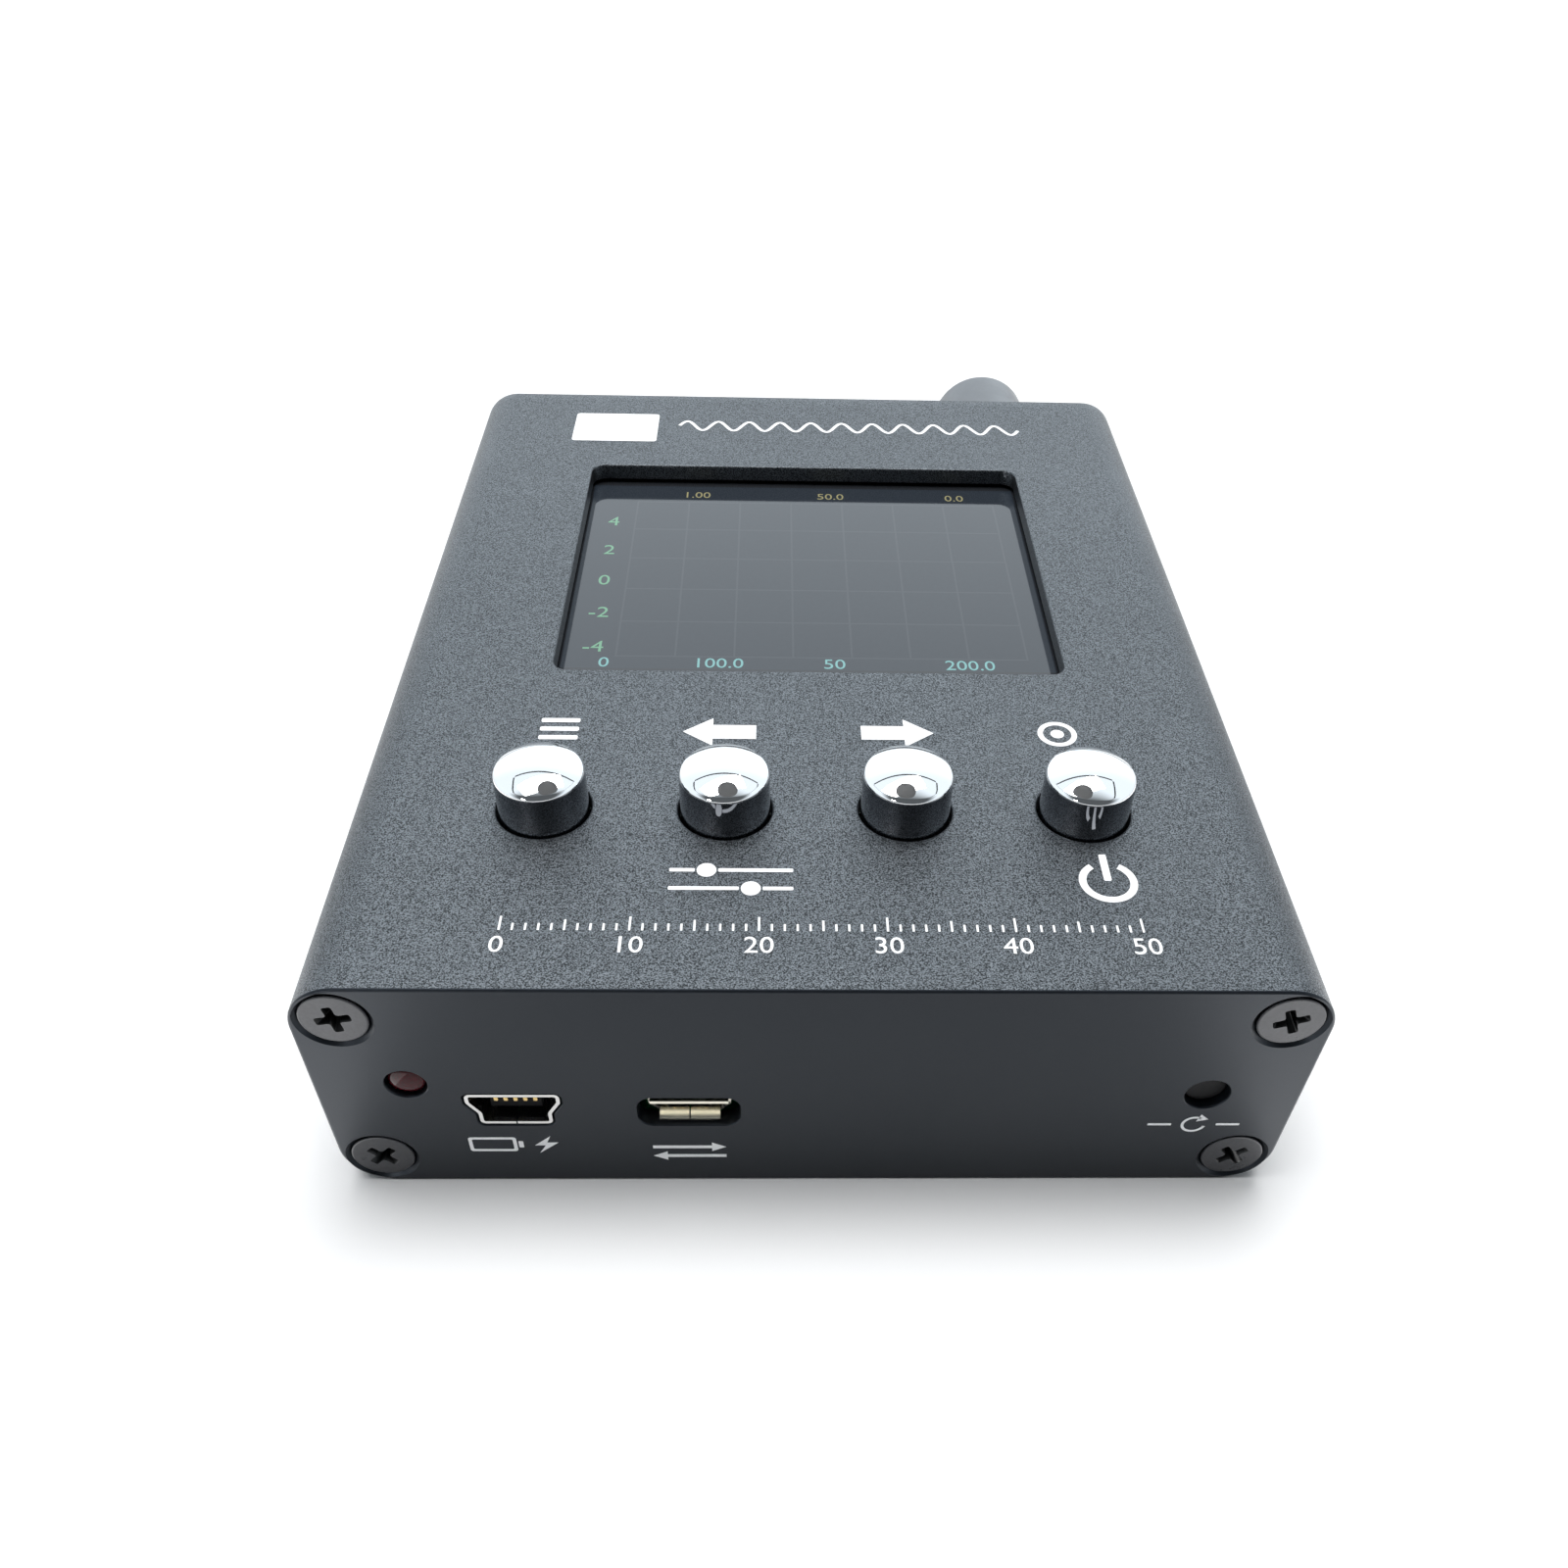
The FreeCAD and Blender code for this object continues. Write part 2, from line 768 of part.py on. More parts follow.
def make_mini_contacts():
    return socket_contacts(mini_x, mini_length, mini_recess, mini_contact_pitch, mini_contact_width,
                           mini_tongue_top)


def make_micro_insert():
    return socket_insert(micro_corners(socket_bottom()), micro_x, micro_length, micro_recess,
                         micro_tongue_half_width, micro_tongue_bottom, micro_tongue_top)


def make_micro_contacts():
    return socket_contacts(micro_x, micro_length, micro_recess, micro_contact_pitch, micro_contact_width,
                           micro_tongue_top)


# Charge lamp

def make_charge_led():
    tip = front_y + led_recess
    flange_front = tip + led_length - led_flange_thickness
    flange = rod(led_flange_radius, point(led_x, flange_front, led_z), ALONG_Y, led_flange_thickness)
    body = rod(led_radius, point(led_x, tip + led_radius, led_z), ALONG_Y, flange_front - tip - led_radius)
    dome = Part.makeSphere(led_radius, point(led_x, tip + led_radius, led_z))
    return flange.fuse([body, dome]).removeSplitter()


def make_charge_led_leads():
    leads = []
    half = led_lead_size / 2
    back = front_y + led_recess + led_length
    for side in (-1, 1):
        x = led_x + side * led_lead_pitch / 2
        run = block(x - half, x + half, back, back + led_lead_reach + half, led_z - half, led_z + half)
        drop_y = back + led_lead_reach
        drop = block(x - half, x + half, drop_y - half, drop_y + half, lower_board_top, led_z + half)
        leads.append(run.fuse(drop).removeSplitter())
    return Part.makeCompound(leads)


# Reset switch

def reset_body_front():
    return tube_front_y + reset_body_setback


def make_reset_housing():
    y0 = reset_body_front()
    half = switch_size / 2
    housing = block(
        reset_x - half, reset_x + half, y0, y0 + reset_body_depth, lower_board_top, reset_z + half
    )
    well_radius = reset_hole_radius + 2 * reset_plunger_gap
    well = rod(well_radius, point(reset_x, y0, reset_z), ALONG_Y, 6 * reset_travel)
    return housing.cut(well)


def make_reset_cover():
    y1 = reset_body_front()
    half = switch_size / 2
    cover = block(
        reset_x - half, reset_x + half, y1 - reset_cover_thickness, y1, reset_z - half, reset_z + half
    )
    hole_start = point(reset_x, y1 - reset_cover_thickness, reset_z)
    return cover.cut(rod(reset_hole_radius, hole_start, ALONG_Y, reset_cover_thickness))


def make_reset_plunger():
    radius = reset_hole_radius - reset_plunger_gap
    collar_radius = reset_hole_radius + reset_plunger_gap
    tip = front_y + reset_plunger_recess
    collar_front = reset_body_front() + reset_plunger_gap
    collar_back = collar_front + 2 * reset_travel
    pairs = [(0, tip), (radius, tip), (radius, collar_front), (collar_radius, collar_front),
             (collar_radius, collar_back), (0, collar_back)]
    return about_y(pairs, reset_x, reset_z)


# Coaxial port and its cap

def make_rf_body():
    """The threaded barrel with its shoulder behind the plate and the legs that grip the board."""
    bore_end = rf_end_y - rf_bore_depth
    pairs = [
        (rf_dielectric_radius, rf_block_front), (rf_thread_radius - rf_block_inset, rf_block_front),
        (rf_thread_radius - rf_block_inset, rf_flange_front), (rf_flange_radius, rf_flange_front),
        (rf_flange_radius, tube_rear_y), (rf_thread_radius, tube_rear_y),
        (rf_thread_radius, rf_end_y - rf_end_break), (rf_thread_radius - rf_end_break, rf_end_y),
        (rf_bore_radius + rf_end_break, rf_end_y), (rf_bore_radius, rf_end_y - rf_end_break),
        (rf_bore_radius, bore_end), (rf_dielectric_radius, bore_end),
    ]
    body = about_y(pairs, rf_x, rf_z)
    half = rf_block_size / 2
    square = block(rf_x - half, rf_x + half, rf_block_front, rf_flange_front, rf_z - half, rf_z + half)
    passage = rod(rf_dielectric_radius, point(rf_x, rf_block_front, rf_z), ALONG_Y, rf_block_thickness)
    body = body.fuse(square.cut(passage))
    leg_back = rf_block_front - rf_leg_length
    for side in (-1, 1):
        x0 = rf_x + side * rf_leg_offset - rf_leg_size / 2
        for z0 in (upper_board_top, upper_board_bottom - rf_leg_size):
            body = body.fuse(block(x0, x0 + rf_leg_size, leg_back, rf_block_front, z0, z0 + rf_leg_size))
    return body.removeSplitter()


def make_rf_insulator():
    bore_end = rf_end_y - rf_bore_depth
    sleeve_end = rf_end_y - rf_sleeve_setback
    shelf_end = bore_end + rf_shelf_thickness
    pairs = [
        (rf_contact_radius, rf_block_front), (rf_dielectric_radius, rf_block_front),
        (rf_dielectric_radius, bore_end), (rf_bore_radius, bore_end), (rf_bore_radius, shelf_end),
        (rf_sleeve_radius, shelf_end), (rf_sleeve_radius, sleeve_end), (rf_contact_radius, sleeve_end),
    ]
    return about_y(pairs, rf_x, rf_z)


def make_rf_pin():
    tail_start = rf_block_front - rf_leg_length + rf_pin_setback
    contact_end = rf_end_y - rf_sleeve_setback - rf_contact_recess
    bore_end = contact_end - rf_contact_bore_depth
    pairs = [
        (0, tail_start), (rf_pin_radius, tail_start), (rf_pin_radius, rf_block_front),
        (rf_contact_radius, rf_block_front), (rf_contact_radius, contact_end),
        (rf_contact_bore, contact_end), (rf_contact_bore, bore_end), (0, bore_end),
    ]
    return about_y(pairs, rf_x, rf_z)


def make_rf_washer():
    start = point(rf_x, rear_y, rf_z)
    ring = rod(washer_radius, start, ALONG_Y, washer_thickness)
    return ring.cut(rod(rf_thread_radius + rf_hole_gap, start, ALONG_Y, washer_thickness))


def make_rf_nut():
    """A hexagon nut with two flats level and its corners turned down."""
    corner_radius = nut_across_flats / math.sqrt(3)
    corners = []
    for i in range(6):
        turn = math.radians(60 * i)
        corners.append((rf_x + corner_radius * math.cos(turn), rf_z + corner_radius * math.sin(turn), 0))
    nut = upright_slab(corners, nut_front_y, nut_rear_y)
    slope = (corner_radius - nut_chamfer_radius) / 2
    pairs = [
        (0, nut_front_y), (corner_radius, nut_front_y), (corner_radius, nut_rear_y - slope),
        (nut_chamfer_radius, nut_rear_y), (0, nut_rear_y),
    ]
    nut = nut.common(about_y(pairs, rf_x, rf_z))
    bore = rod(rf_thread_radius + cap_running_gap, point(rf_x, nut_front_y, rf_z), ALONG_Y, nut_thickness)
    return nut.cut(bore)


def make_rf_cap():
    bore_radius = rf_thread_radius + cap_running_gap
    shell = rod(cap_radius, point(rf_x, cap_front_y, rf_z), ALONG_Y, cap_end_y - cap_front_y)
    end_rim = [edge for edge in shell.Edges if abs(edge.BoundBox.YMin - cap_end_y) < 1e-6]
    shell = shell.makeFillet(cap_edge_radius, end_rim)
    return shell.cut(rod(bore_radius, point(rf_x, cap_front_y, rf_z), ALONG_Y, cap_inner_y - cap_front_y))


# Battery and its leads

def make_battery():
    """A flat pouch cell with rounded long sides."""
    z0 = lower_board_top + battery_tape_gap
    corners = rectangle_corners(
        battery_left_x, battery_left_x + battery_width, z0, z0 + battery_thickness, battery_corner_radius
    )
    return upright_slab(corners, battery_front_y, battery_front_y + battery_length)


def make_battery_leads():
    """Two insulated wires from the cell to the plug, at half the cell's height."""
    leads = []
    z = lower_board_top + battery_tape_gap + battery_thickness / 2
    for side in (-1, 1):
        start = point(lead_x + side * lead_pitch / 2, battery_front_y + battery_length, z)
        leads.append(rod(lead_radius, start, ALONG_Y, lead_run_y))
    return Part.makeCompound(leads)


def plug_places():
    return lead_x, battery_front_y + battery_length + lead_run_y


def make_battery_plug():
    middle, start = plug_places()
    z = lower_board_top + battery_tape_gap + battery_thickness / 2
    half = lead_pitch + battery_plug_margin
    return block(middle - half, middle + half, start, start + battery_plug_length,
                 z - battery_plug_half_height, z + battery_plug_half_height)


def make_battery_socket():
    """A shrouded socket on the lower board, round the sides of the plug."""
    middle, start = plug_places()
    z = lower_board_top + battery_tape_gap + battery_thickness / 2
    room_half = lead_pitch + battery_plug_margin + battery_plug_gap
    half = room_half + battery_socket_wall
    room_rise = battery_plug_half_height + battery_plug_gap
    y0 = start + battery_socket_setback
    shroud = block(middle - half, middle + half, y0, y0 + battery_socket_depth,
                   lower_board_top, lower_board_top + battery_socket_height)
    room = block(middle - room_half, middle + room_half, y0, start + battery_plug_length + battery_plug_gap,
                 z - room_rise, z + room_rise)
    return shroud.cut(room)


# Chips and shield

def make_main_chip():
    half = main_chip_size / 2
    corners = rectangle_corners(
        main_chip_x - half, main_chip_x + half, main_chip_y - half, main_chip_y + half, chip_corner_radius
    )
    return level_slab(corners, upper_board_top, upper_board_top + main_chip_height)


def make_charger_chip():
    half_x, half_y = charger_chip_width / 2, charger_chip_length / 2
    corners = rectangle_corners(
        charger_chip_x - half_x, charger_chip_x + half_x, charger_chip_y - half_y, charger_chip_y + half_y,
        chip_corner_radius
    )
    return level_slab(corners, lower_board_top, lower_board_top + charger_chip_height)


def make_rf_shield():
    """A folded cover over the measuring bridge, with a row of vents, in front of the coaxial port."""
    back = rf_block_front - rf_leg_length - shield_gap_to_leads
    front = back - shield_length
    left, right = rf_x - shield_width / 2, rf_x + shield_width / 2
    top = upper_board_top + shield_height
    can = block(left, right, front, back, upper_board_top, top)
    room = block(left + shield_sheet, right - shield_sheet, front + shield_sheet, back - shield_sheet,
                 upper_board_top, top - shield_sheet)
    can = can.cut(room)
    middle = (front + back) / 2
    for column in range(3):
        x = rf_x + shield_vent_pitch * (column - 1)
        vent = block(x - shield_vent_width / 2, x + shield_vent_width / 2,
                     middle - shield_vent_length / 2, middle + shield_vent_length / 2,
                     top - shield_sheet, top)
        can = can.cut(vent)
    return can


key_names = ["menu", "left", "right", "select"]

parts = {
    "case_tube": make_case_tube(),
    "front_plate": make_front_plate(),
    "rear_plate": make_rear_plate(),
    "front_plate_screws": make_plate_screws(front_y, 1),
    "rear_plate_screws": make_plate_screws(rear_y, -1),
    "lower_board": make_lower_board(),
    "upper_board": make_upper_board(),
    "board_header": make_board_header(),
    "display_glass": make_display_glass(),
    "display_tray": make_display_tray(),
    "display_pad": make_display_pad(),
    "display_board": make_display_board(),
    "display_flex": make_display_flex(),
    "display_header": make_display_header(),
    "switch_bases": make_switch_bases(),
    "switch_covers": make_switch_covers(),
    "mini_socket_shell": make_mini_shell(),
    "mini_socket_insert": make_mini_insert(),
    "mini_socket_contacts": make_mini_contacts(),
    "micro_socket_shell": make_micro_shell(),
    "micro_socket_insert": make_micro_insert(),
    "micro_socket_contacts": make_micro_contacts(),
    "charge_lamp": make_charge_led(),
    "charge_lamp_leads": make_charge_led_leads(),
    "reset_switch_housing": make_reset_housing(),
    "reset_switch_cover": make_reset_cover(),
    "reset_plunger": make_reset_plunger(),
    "rf_port_body": make_rf_body(),
    "rf_port_insulator": make_rf_insulator(),
    "rf_port_contact": make_rf_pin(),
    "rf_port_washer": make_rf_washer(),
    "rf_port_nut": make_rf_nut(),
    "rf_port_cap": make_rf_cap(),
    "battery_cell": make_battery(),
    "battery_leads": make_battery_leads(),
    "battery_plug": make_battery_plug(),
    "battery_socket": make_battery_socket(),
    "main_chip": make_main_chip(),
    "charger_chip": make_charger_chip(),
    "rf_shield": make_rf_shield(),
}
for name, x in zip(key_names, key_x):
    parts["key_cap_" + name] = make_key_cap(x)
    parts["key_plunger_" + name] = make_key_plunger(x)

os.makedirs("parts", exist_ok=True)
for name, shape in parts.items():
    shape.exportStep("parts/" + name + ".step")
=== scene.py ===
import math

import bmesh
import bpy
from mathutils import Matrix, Vector


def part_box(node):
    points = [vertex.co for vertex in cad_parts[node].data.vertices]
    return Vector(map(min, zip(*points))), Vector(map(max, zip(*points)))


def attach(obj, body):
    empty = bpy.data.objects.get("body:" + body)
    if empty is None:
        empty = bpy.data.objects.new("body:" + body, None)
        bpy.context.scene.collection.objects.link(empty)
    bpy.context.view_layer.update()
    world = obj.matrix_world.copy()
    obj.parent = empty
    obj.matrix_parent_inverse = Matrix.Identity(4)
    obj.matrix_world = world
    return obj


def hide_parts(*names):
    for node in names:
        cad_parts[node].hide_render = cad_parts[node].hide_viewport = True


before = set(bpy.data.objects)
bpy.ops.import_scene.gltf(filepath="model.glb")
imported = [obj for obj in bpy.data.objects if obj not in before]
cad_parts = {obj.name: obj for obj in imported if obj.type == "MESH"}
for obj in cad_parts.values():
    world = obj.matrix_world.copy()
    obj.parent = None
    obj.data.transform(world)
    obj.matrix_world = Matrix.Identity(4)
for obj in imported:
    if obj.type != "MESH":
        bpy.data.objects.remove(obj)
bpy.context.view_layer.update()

bl_info = {
    "name": "Antenna Analyzer",
    "version": (1, 0, 0),
    "blender": (4, 5, 0),
    "location": "View3D > Sidebar > Analyzer",
    "description": "Builds the finish of a handheld antenna analyzer round its packed frame",
    "category": "Object",
}

MM = 0.001
TURN = 2 * math.pi
UP, AWAY = (0, 0, 1), (0, 1, 0)
KEY_NAMES = ("menu", "left", "right", "select")


# Sizes read from the frame, in millimetres

def node_box(node):
    low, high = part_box(node)
    return low / MM, high / MM


def axis_point(node):
    """Where the line along Y through the middle of a node's box crosses the XZ plane."""
    low, high = node_box(node)
    return (low.x + high.x) / 2, 0, (low.z + high.z) / 2


def half_across(node):
    """Half of a node's width, which is the radius of a round one."""
    low, high = node_box(node)
    return (high.x - low.x) / 2


CASE_LOW, CASE_HIGH = node_box("case_tube")
FRONT_LOW, FRONT_HIGH = node_box("front_plate")
GLASS_LOW, GLASS_HIGH = node_box("display_glass")
CASE_TOP = CASE_HIGH.z
SOCKET_SHEET = 0.3
SCREW_INSET = 3.5
THREAD_RADIUS = 5.55
HALF_WIDTH = CASE_HIGH.x
FRONT_Y = FRONT_LOW.y
REAR_Y = node_box("rear_plate")[1].y


# Settings that a user would change

def size_setting(name, description, default, **limits):
    """A length in millimetres."""
    return bpy.props.FloatProperty(
        name=name, description=description + " in millimetres", default=default, **limits)


def colour_setting(name, description, default):
    return bpy.props.FloatVectorProperty(
        name=name, description=description, subtype="COLOR", size=3, default=default, min=0, max=1)


class CaseSettings(bpy.types.PropertyGroup):
    wall: size_setting("Wall", "Thickness of the extruded wall", 1.8, min=0.5)
    corner_radius: size_setting("Corner radius", "Radius of the long edges", 4.4, min=0.5)
    edge_rounding: size_setting("Edge rounding", "Rounding of cut edges", 0.2, min=0.02)
    colour: colour_setting(
        "Anodising", "Colour of the blasted anodising", (0.098, 0.107, 0.116))
    plate_colour: colour_setting(
        "Plate anodising", "Colour of the smooth end plates", (0.004, 0.005, 0.007))
    grain_size: size_setting("Grain size", "Size of one blasted pit", 0.16, min=0.02)


class WindowSettings(bpy.types.PropertyGroup):
    width: size_setting("Width", "Width of the window", 49.2, min=10)
    length: size_setting("Length", "Length of the window", 40.8, min=10)
    centre_x: bpy.props.FloatProperty(
        name="Centre X", description="Middle of the window across the case", default=0.1)
    centre_y: bpy.props.FloatProperty(
        name="Centre Y", description="Middle of the window along the case", default=3.5)
    corner_radius: size_setting("Corner radius", "Radius of the window's corners", 1.5)


class ScreenSettings(bpy.types.PropertyGroup):
    glow: colour_setting("Glow", "Colour of the lit background", (0.005, 0.010, 0.016))
    line: colour_setting("Grid line", "Colour of the grid", (0.024, 0.030, 0.037))
    columns: bpy.props.IntProperty(name="Columns", description="Columns of the grid", default=7, min=1)
    rows: bpy.props.IntProperty(name="Rows", description="Rows of the grid", default=5, min=1)


class KeySettings(bpy.types.PropertyGroup):
    rim_rounding: size_setting("Rim rounding", "Rounding of a key's upper edge", 0.6)
    crown: size_setting("Crown", "Height of a key's domed top", 1.1)
    colour: colour_setting("Plating", "Colour of the mirror plating", (0.90, 0.91, 0.92))


class PrintSettings(bpy.types.PropertyGroup):
    colour: colour_setting("Ink", "Colour of the printed marks", (0.90, 0.91, 0.92))
    thickness: size_setting("Thickness", "Height of the ink", 0.02, min=0.005)


class StageSettings(bpy.types.PropertyGroup):
    fill_level: bpy.props.FloatProperty(
        name="Fill level", description="Strength of the even light from all round", default=0.33, min=0)
    top_power: bpy.props.FloatProperty(
        name="Top light", description="Power of the large light overhead", default=8.0, min=0, unit="POWER")
    front_dimming: bpy.props.FloatProperty(
        name="Front dimming", description="How dark the side behind the camera is",
        default=0.9, min=0, max=1)
    seam_size: size_setting("Seam size", "Thickness of the tent's seams", 9, min=1)


SETTINGS = {
    "analyzer_case": CaseSettings,
    "analyzer_window": WindowSettings,
    "analyzer_screen": ScreenSettings,
    "analyzer_keys": KeySettings,
    "analyzer_print": PrintSettings,
    "analyzer_stage": StageSettings,
}


# Outlines, as lists of (u, v) in millimetres

def arc_points(centre_u, centre_v, radius, start, end, steps):
    """Points along an arc from one angle to another, in radians, both ends included."""
    points = []
    for i in range(steps + 1):
        angle = start + (end - start) * i / steps
        points.append((centre_u + radius * math.cos(angle), centre_v + radius * math.sin(angle)))
    return points


def circle(centre_u, centre_v, radius, steps=64):
    return arc_points(centre_u, centre_v, radius, 0, TURN, steps)[:-1]


def rounded(corners, steps=10):
    """A closed outline round (u, v, radius) corners, each turned by an arc, anticlockwise."""
    points = []
    count = len(corners)
    for i in range(count):
        before = Vector(corners[i - 1][:2])
        here = Vector(corners[i][:2])
        after = Vector(corners[(i + 1) % count][:2])
        radius = corners[i][2]
        if radius <= 0:
            points.append(tuple(here))
            continue
        back = (before - here).normalized()
        ahead = (after - here).normalized()
        half_angle = back.angle(ahead) / 2
        start = here + back * radius / math.tan(half_angle)
        centre = here + (back + ahead).normalized() * radius / math.sin(half_angle)
        spoke = start - centre
        sweep = math.pi - 2 * half_angle
        turn = 1 if back.x * ahead.y - back.y * ahead.x < 0 else -1
        for k in range(steps + 1):
            angle = turn * sweep * k / steps
            cos_a, sin_a = math.cos(angle), math.sin(angle)
            points.append((centre.x + spoke.x * cos_a - spoke.y * sin_a,
                           centre.y + spoke.x * sin_a + spoke.y * cos_a))
    return points


def rounded_rectangle(u0, u1, v0, v1, radius, steps=10):
    corners = [(u0, v0, radius), (u1, v0, radius), (u1, v1, radius), (u0, v1, radius)]
    return rounded(corners, steps)


def offset(loop, amount):
    """The outline moved outwards by amount, or inwards if it is negative."""
    points = []
    count = len(loop)
    for i in range(count):
        before, here, after = (Vector(loop[i - 1]), Vector(loop[i]), Vector(loop[(i + 1) % count]))
        first = (here - before).normalized()
        second = (after - here).normalized()
        out_first = Vector((first.y, -first.x))
        out_second = Vector((second.y, -second.x))
        middle = (out_first + out_second).normalized()
        points.append(tuple(here + middle * amount / max(0.3, middle.dot(out_first))))
    return points


# Mesh building

def level_place(u, v, w):
    return Vector((u, v, w)) * MM


def upright_place(u, v, w):
    return Vector((u, w, v)) * MM


def add_ring(shape, loop, place, w):
    return [shape.verts.new(place(u, v, w)) for u, v in loop]


def join_rings(shape, first, second, skip=(), finish=0):
    count = len(first)
    for i in range(count):
        if i not in skip:
            j = (i + 1) % count
            face = shape.faces.new((first[i], first[j], second[j], second[i]))
            face.material_index = finish
            face.smooth = True


def loft(shape, rings, skip=()):
    """Joins each ring to the next one."""
    for first, second in zip(rings, rings[1:]):
        join_rings(shape, first, second, skip)


def add_tube(shape, sections, place):
    """Rings through (outline, height) sections, each joined to the next."""
    rings = [add_ring(shape, loop, place, w) for loop, w in sections]
    loft(shape, rings)
    return rings


def fill_rings(shape, rings):
    """A flat face inside the first ring and outside the others."""
    edges = []
    for ring in rings:
        for i in range(len(ring)):
            pair = (ring[i], ring[(i + 1) % len(ring)])
            edges.append(shape.edges.get(pair) or shape.edges.new(pair))
    bmesh.ops.triangle_fill(shape, use_beauty=True, use_dissolve=False, edges=edges)


def fill_ends(shape, tubes):
    """Flat faces over both ends of a tube, outside the tubes in it."""
    for end in (0, -1):
        fill_rings(shape, [rings[end] for rings in tubes])


def quarter_round(radius, steps):
    """(inset, rise) pairs up a rounded edge."""
    angles = [math.pi / 2 * i / steps for i in range(steps + 1)]
    return [(radius * (1 - math.sin(angle)), radius * (1 - math.cos(angle))) for angle in angles]


def rounding_steps(low, high, radius, steps=3):
    """(inset, height) pairs from the lower face to the upper one, round both edges."""
    if radius <= 0:
        return [(0.0, low), (0.0, high)]
    lower = [(inset, low + rise) for inset, rise in quarter_round(radius, steps)]
    upper = [(inset, high - (height - low)) for inset, height in reversed(lower)]
    return lower + upper


def add_slab(shape, outer, place, low, high, rounding, steps=3, holes=()):
    """A plate with the given outline and holes, all its edges rounded."""
    levels = rounding_steps(low, high, rounding, steps)
    tubes = []
    for index, loop in enumerate([outer, *holes]):
        side = 1 if index else -1
        tubes.append(add_tube(shape, [(offset(loop, side * inset), w) for inset, w in levels], place))
    fill_ends(shape, tubes)


def add_lathe(shape, profile, origin, along, steps):
    """Turns an open or closed (radius, height) profile round a line; a zero radius is a point on it."""
    along, across = Vector(along), Vector((1, 0, 0))
    third = along.cross(across)
    rings = []
    for radius, height in profile:
        centre = Vector(origin) + along * height
        if radius < 1e-9:
            rings.append([shape.verts.new(centre * MM)])
            continue
        ring = []
        for i in range(steps):
            angle = TURN * i / steps
            spoke = across * math.cos(angle) + third * math.sin(angle)
            ring.append(shape.verts.new((centre + spoke * radius) * MM))
        rings.append(ring)
    closed = len(rings[0]) > 1 and len(rings[-1]) > 1
    for k in range(len(rings) if closed else len(rings) - 1):
        first, second = rings[k], rings[(k + 1) % len(rings)]
        for i in range(steps):
            j = (i + 1) % steps
            corners = (first[i % len(first)], first[j % len(first)],
                       second[j % len(second)], second[i % len(second)])
            corners = list(dict.fromkeys(corners))
            if len(corners) > 2:
                shape.faces.new(corners).smooth = True


def softened(profile, radius, steps=3):
    """A (radius, height) profile with its inner corners turned by small arcs."""
    points = [profile[0]]
    for before, here, after in zip(profile, profile[1:], profile[2:]):
        here = Vector(here)
        back, ahead = Vector(before) - here, Vector(after) - here
        reach = min(radius, back.length * 0.45, ahead.length * 0.45)
        if abs(back.normalized().dot(ahead.normalized())) > 0.98:
            points.append(tuple(here))
            continue
        start, end = here + back.normalized() * reach, here + ahead.normalized() * reach
        for k in range(steps + 1):
            t = k / steps
            points.append(tuple(start * (1 - t) ** 2 + here * 2 * t * (1 - t) + end * t ** 2))
    points.append(profile[-1])
    return points


def mesh_from(shape, name):
    mesh = bpy.data.meshes.new(name)
    shape.to_mesh(mesh)
    shape.free()
    return mesh


def finish_piece(node, shape, body, material, sharp_degrees=35, weighted=True, second=None):
    """Closes the shape that replaces a node, turns its faces outwards and hands it to the frame."""
    bmesh.ops.remove_doubles(shape, verts=shape.verts, dist=2e-7)
    bmesh.ops.recalc_face_normals(shape, faces=shape.faces)
    if shape.calc_volume(signed=True) < 0:
        bmesh.ops.reverse_faces(shape, faces=shape.faces)
    name = node + "_finished"
    mesh = mesh_from(shape, name)
    dress_piece(name, mesh, body, material, (node,), sharp_degrees, weighted, second)


def dress_piece(name, mesh, body, material, replaced=(), sharp_degrees=35, weighted=True,
                second=None):
    """Shades a mesh, gives it its finishes and hands it to the frame."""
    flat = [face for face in mesh.polygons if not face.use_smooth]
    mesh.set_sharp_from_angle(angle=math.radians(sharp_degrees))
    for face in flat:
        face.use_smooth = False
    piece = bpy.data.objects.new(name, mesh)
    bpy.context.scene.collection.objects.link(piece)
    if mesh.materials:
        mesh.materials.clear()
    mesh.materials.append(material)
    if second:
        mesh.materials.append(second)
    if weighted and not second:
        normals = piece.modifiers.new("Flat faces", "WEIGHTED_NORMAL")
        normals.keep_sharp = True
        normals.weight = 60
    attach(piece, body)
    if replaced:
        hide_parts(*replaced)


def turned_piece(node, profile, origin, along, steps, body, material, sharp_degrees=50):
    """A lathed piece that replaces a node."""
    shape = bmesh.new()
    add_lathe(shape, profile, origin, along, steps)
    finish_piece(node, shape, body, material, sharp_degrees, weighted=False)


def paint_nodes(material, *nodes):
    for node in nodes:
        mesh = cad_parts[node].data
        mesh.materials.clear()
        mesh.materials.append(material)


# Shader nodes

def feed(tree, socket, value):
    """Links a socket to another one, or sets its value."""
    if isinstance(value, bpy.types.NodeSocket):
        tree.links.new(value, socket)
    else:
        socket.default_value = value


def set_inputs(tree, node, **values):
    """Feeds a node's inputs, whose names are written with _ for a space."""
    for label, value in values.items():
        feed(tree, node.inputs[label.replace("_", " ")], value)


def add_node(tree, kind, **values):
    node = tree.nodes.new(kind)
    set_inputs(tree, node, **values)
    return node


def operation_node(tree, kind, operation, values):
    node = tree.nodes.new(kind)
    node.operation = operation
    for socket, value in zip(node.inputs, values):
        feed(tree, socket, value)
    return node


def math_node(tree, operation, *values, clamp=False):
    node = operation_node(tree, "ShaderNodeMath", operation, values)
    node.use_clamp = clamp
    return node.outputs[0]


def product(tree, *values):
    total = values[0]
    for value in values[1:]:
        total = math_node(tree, "MULTIPLY", total, value)
    return total


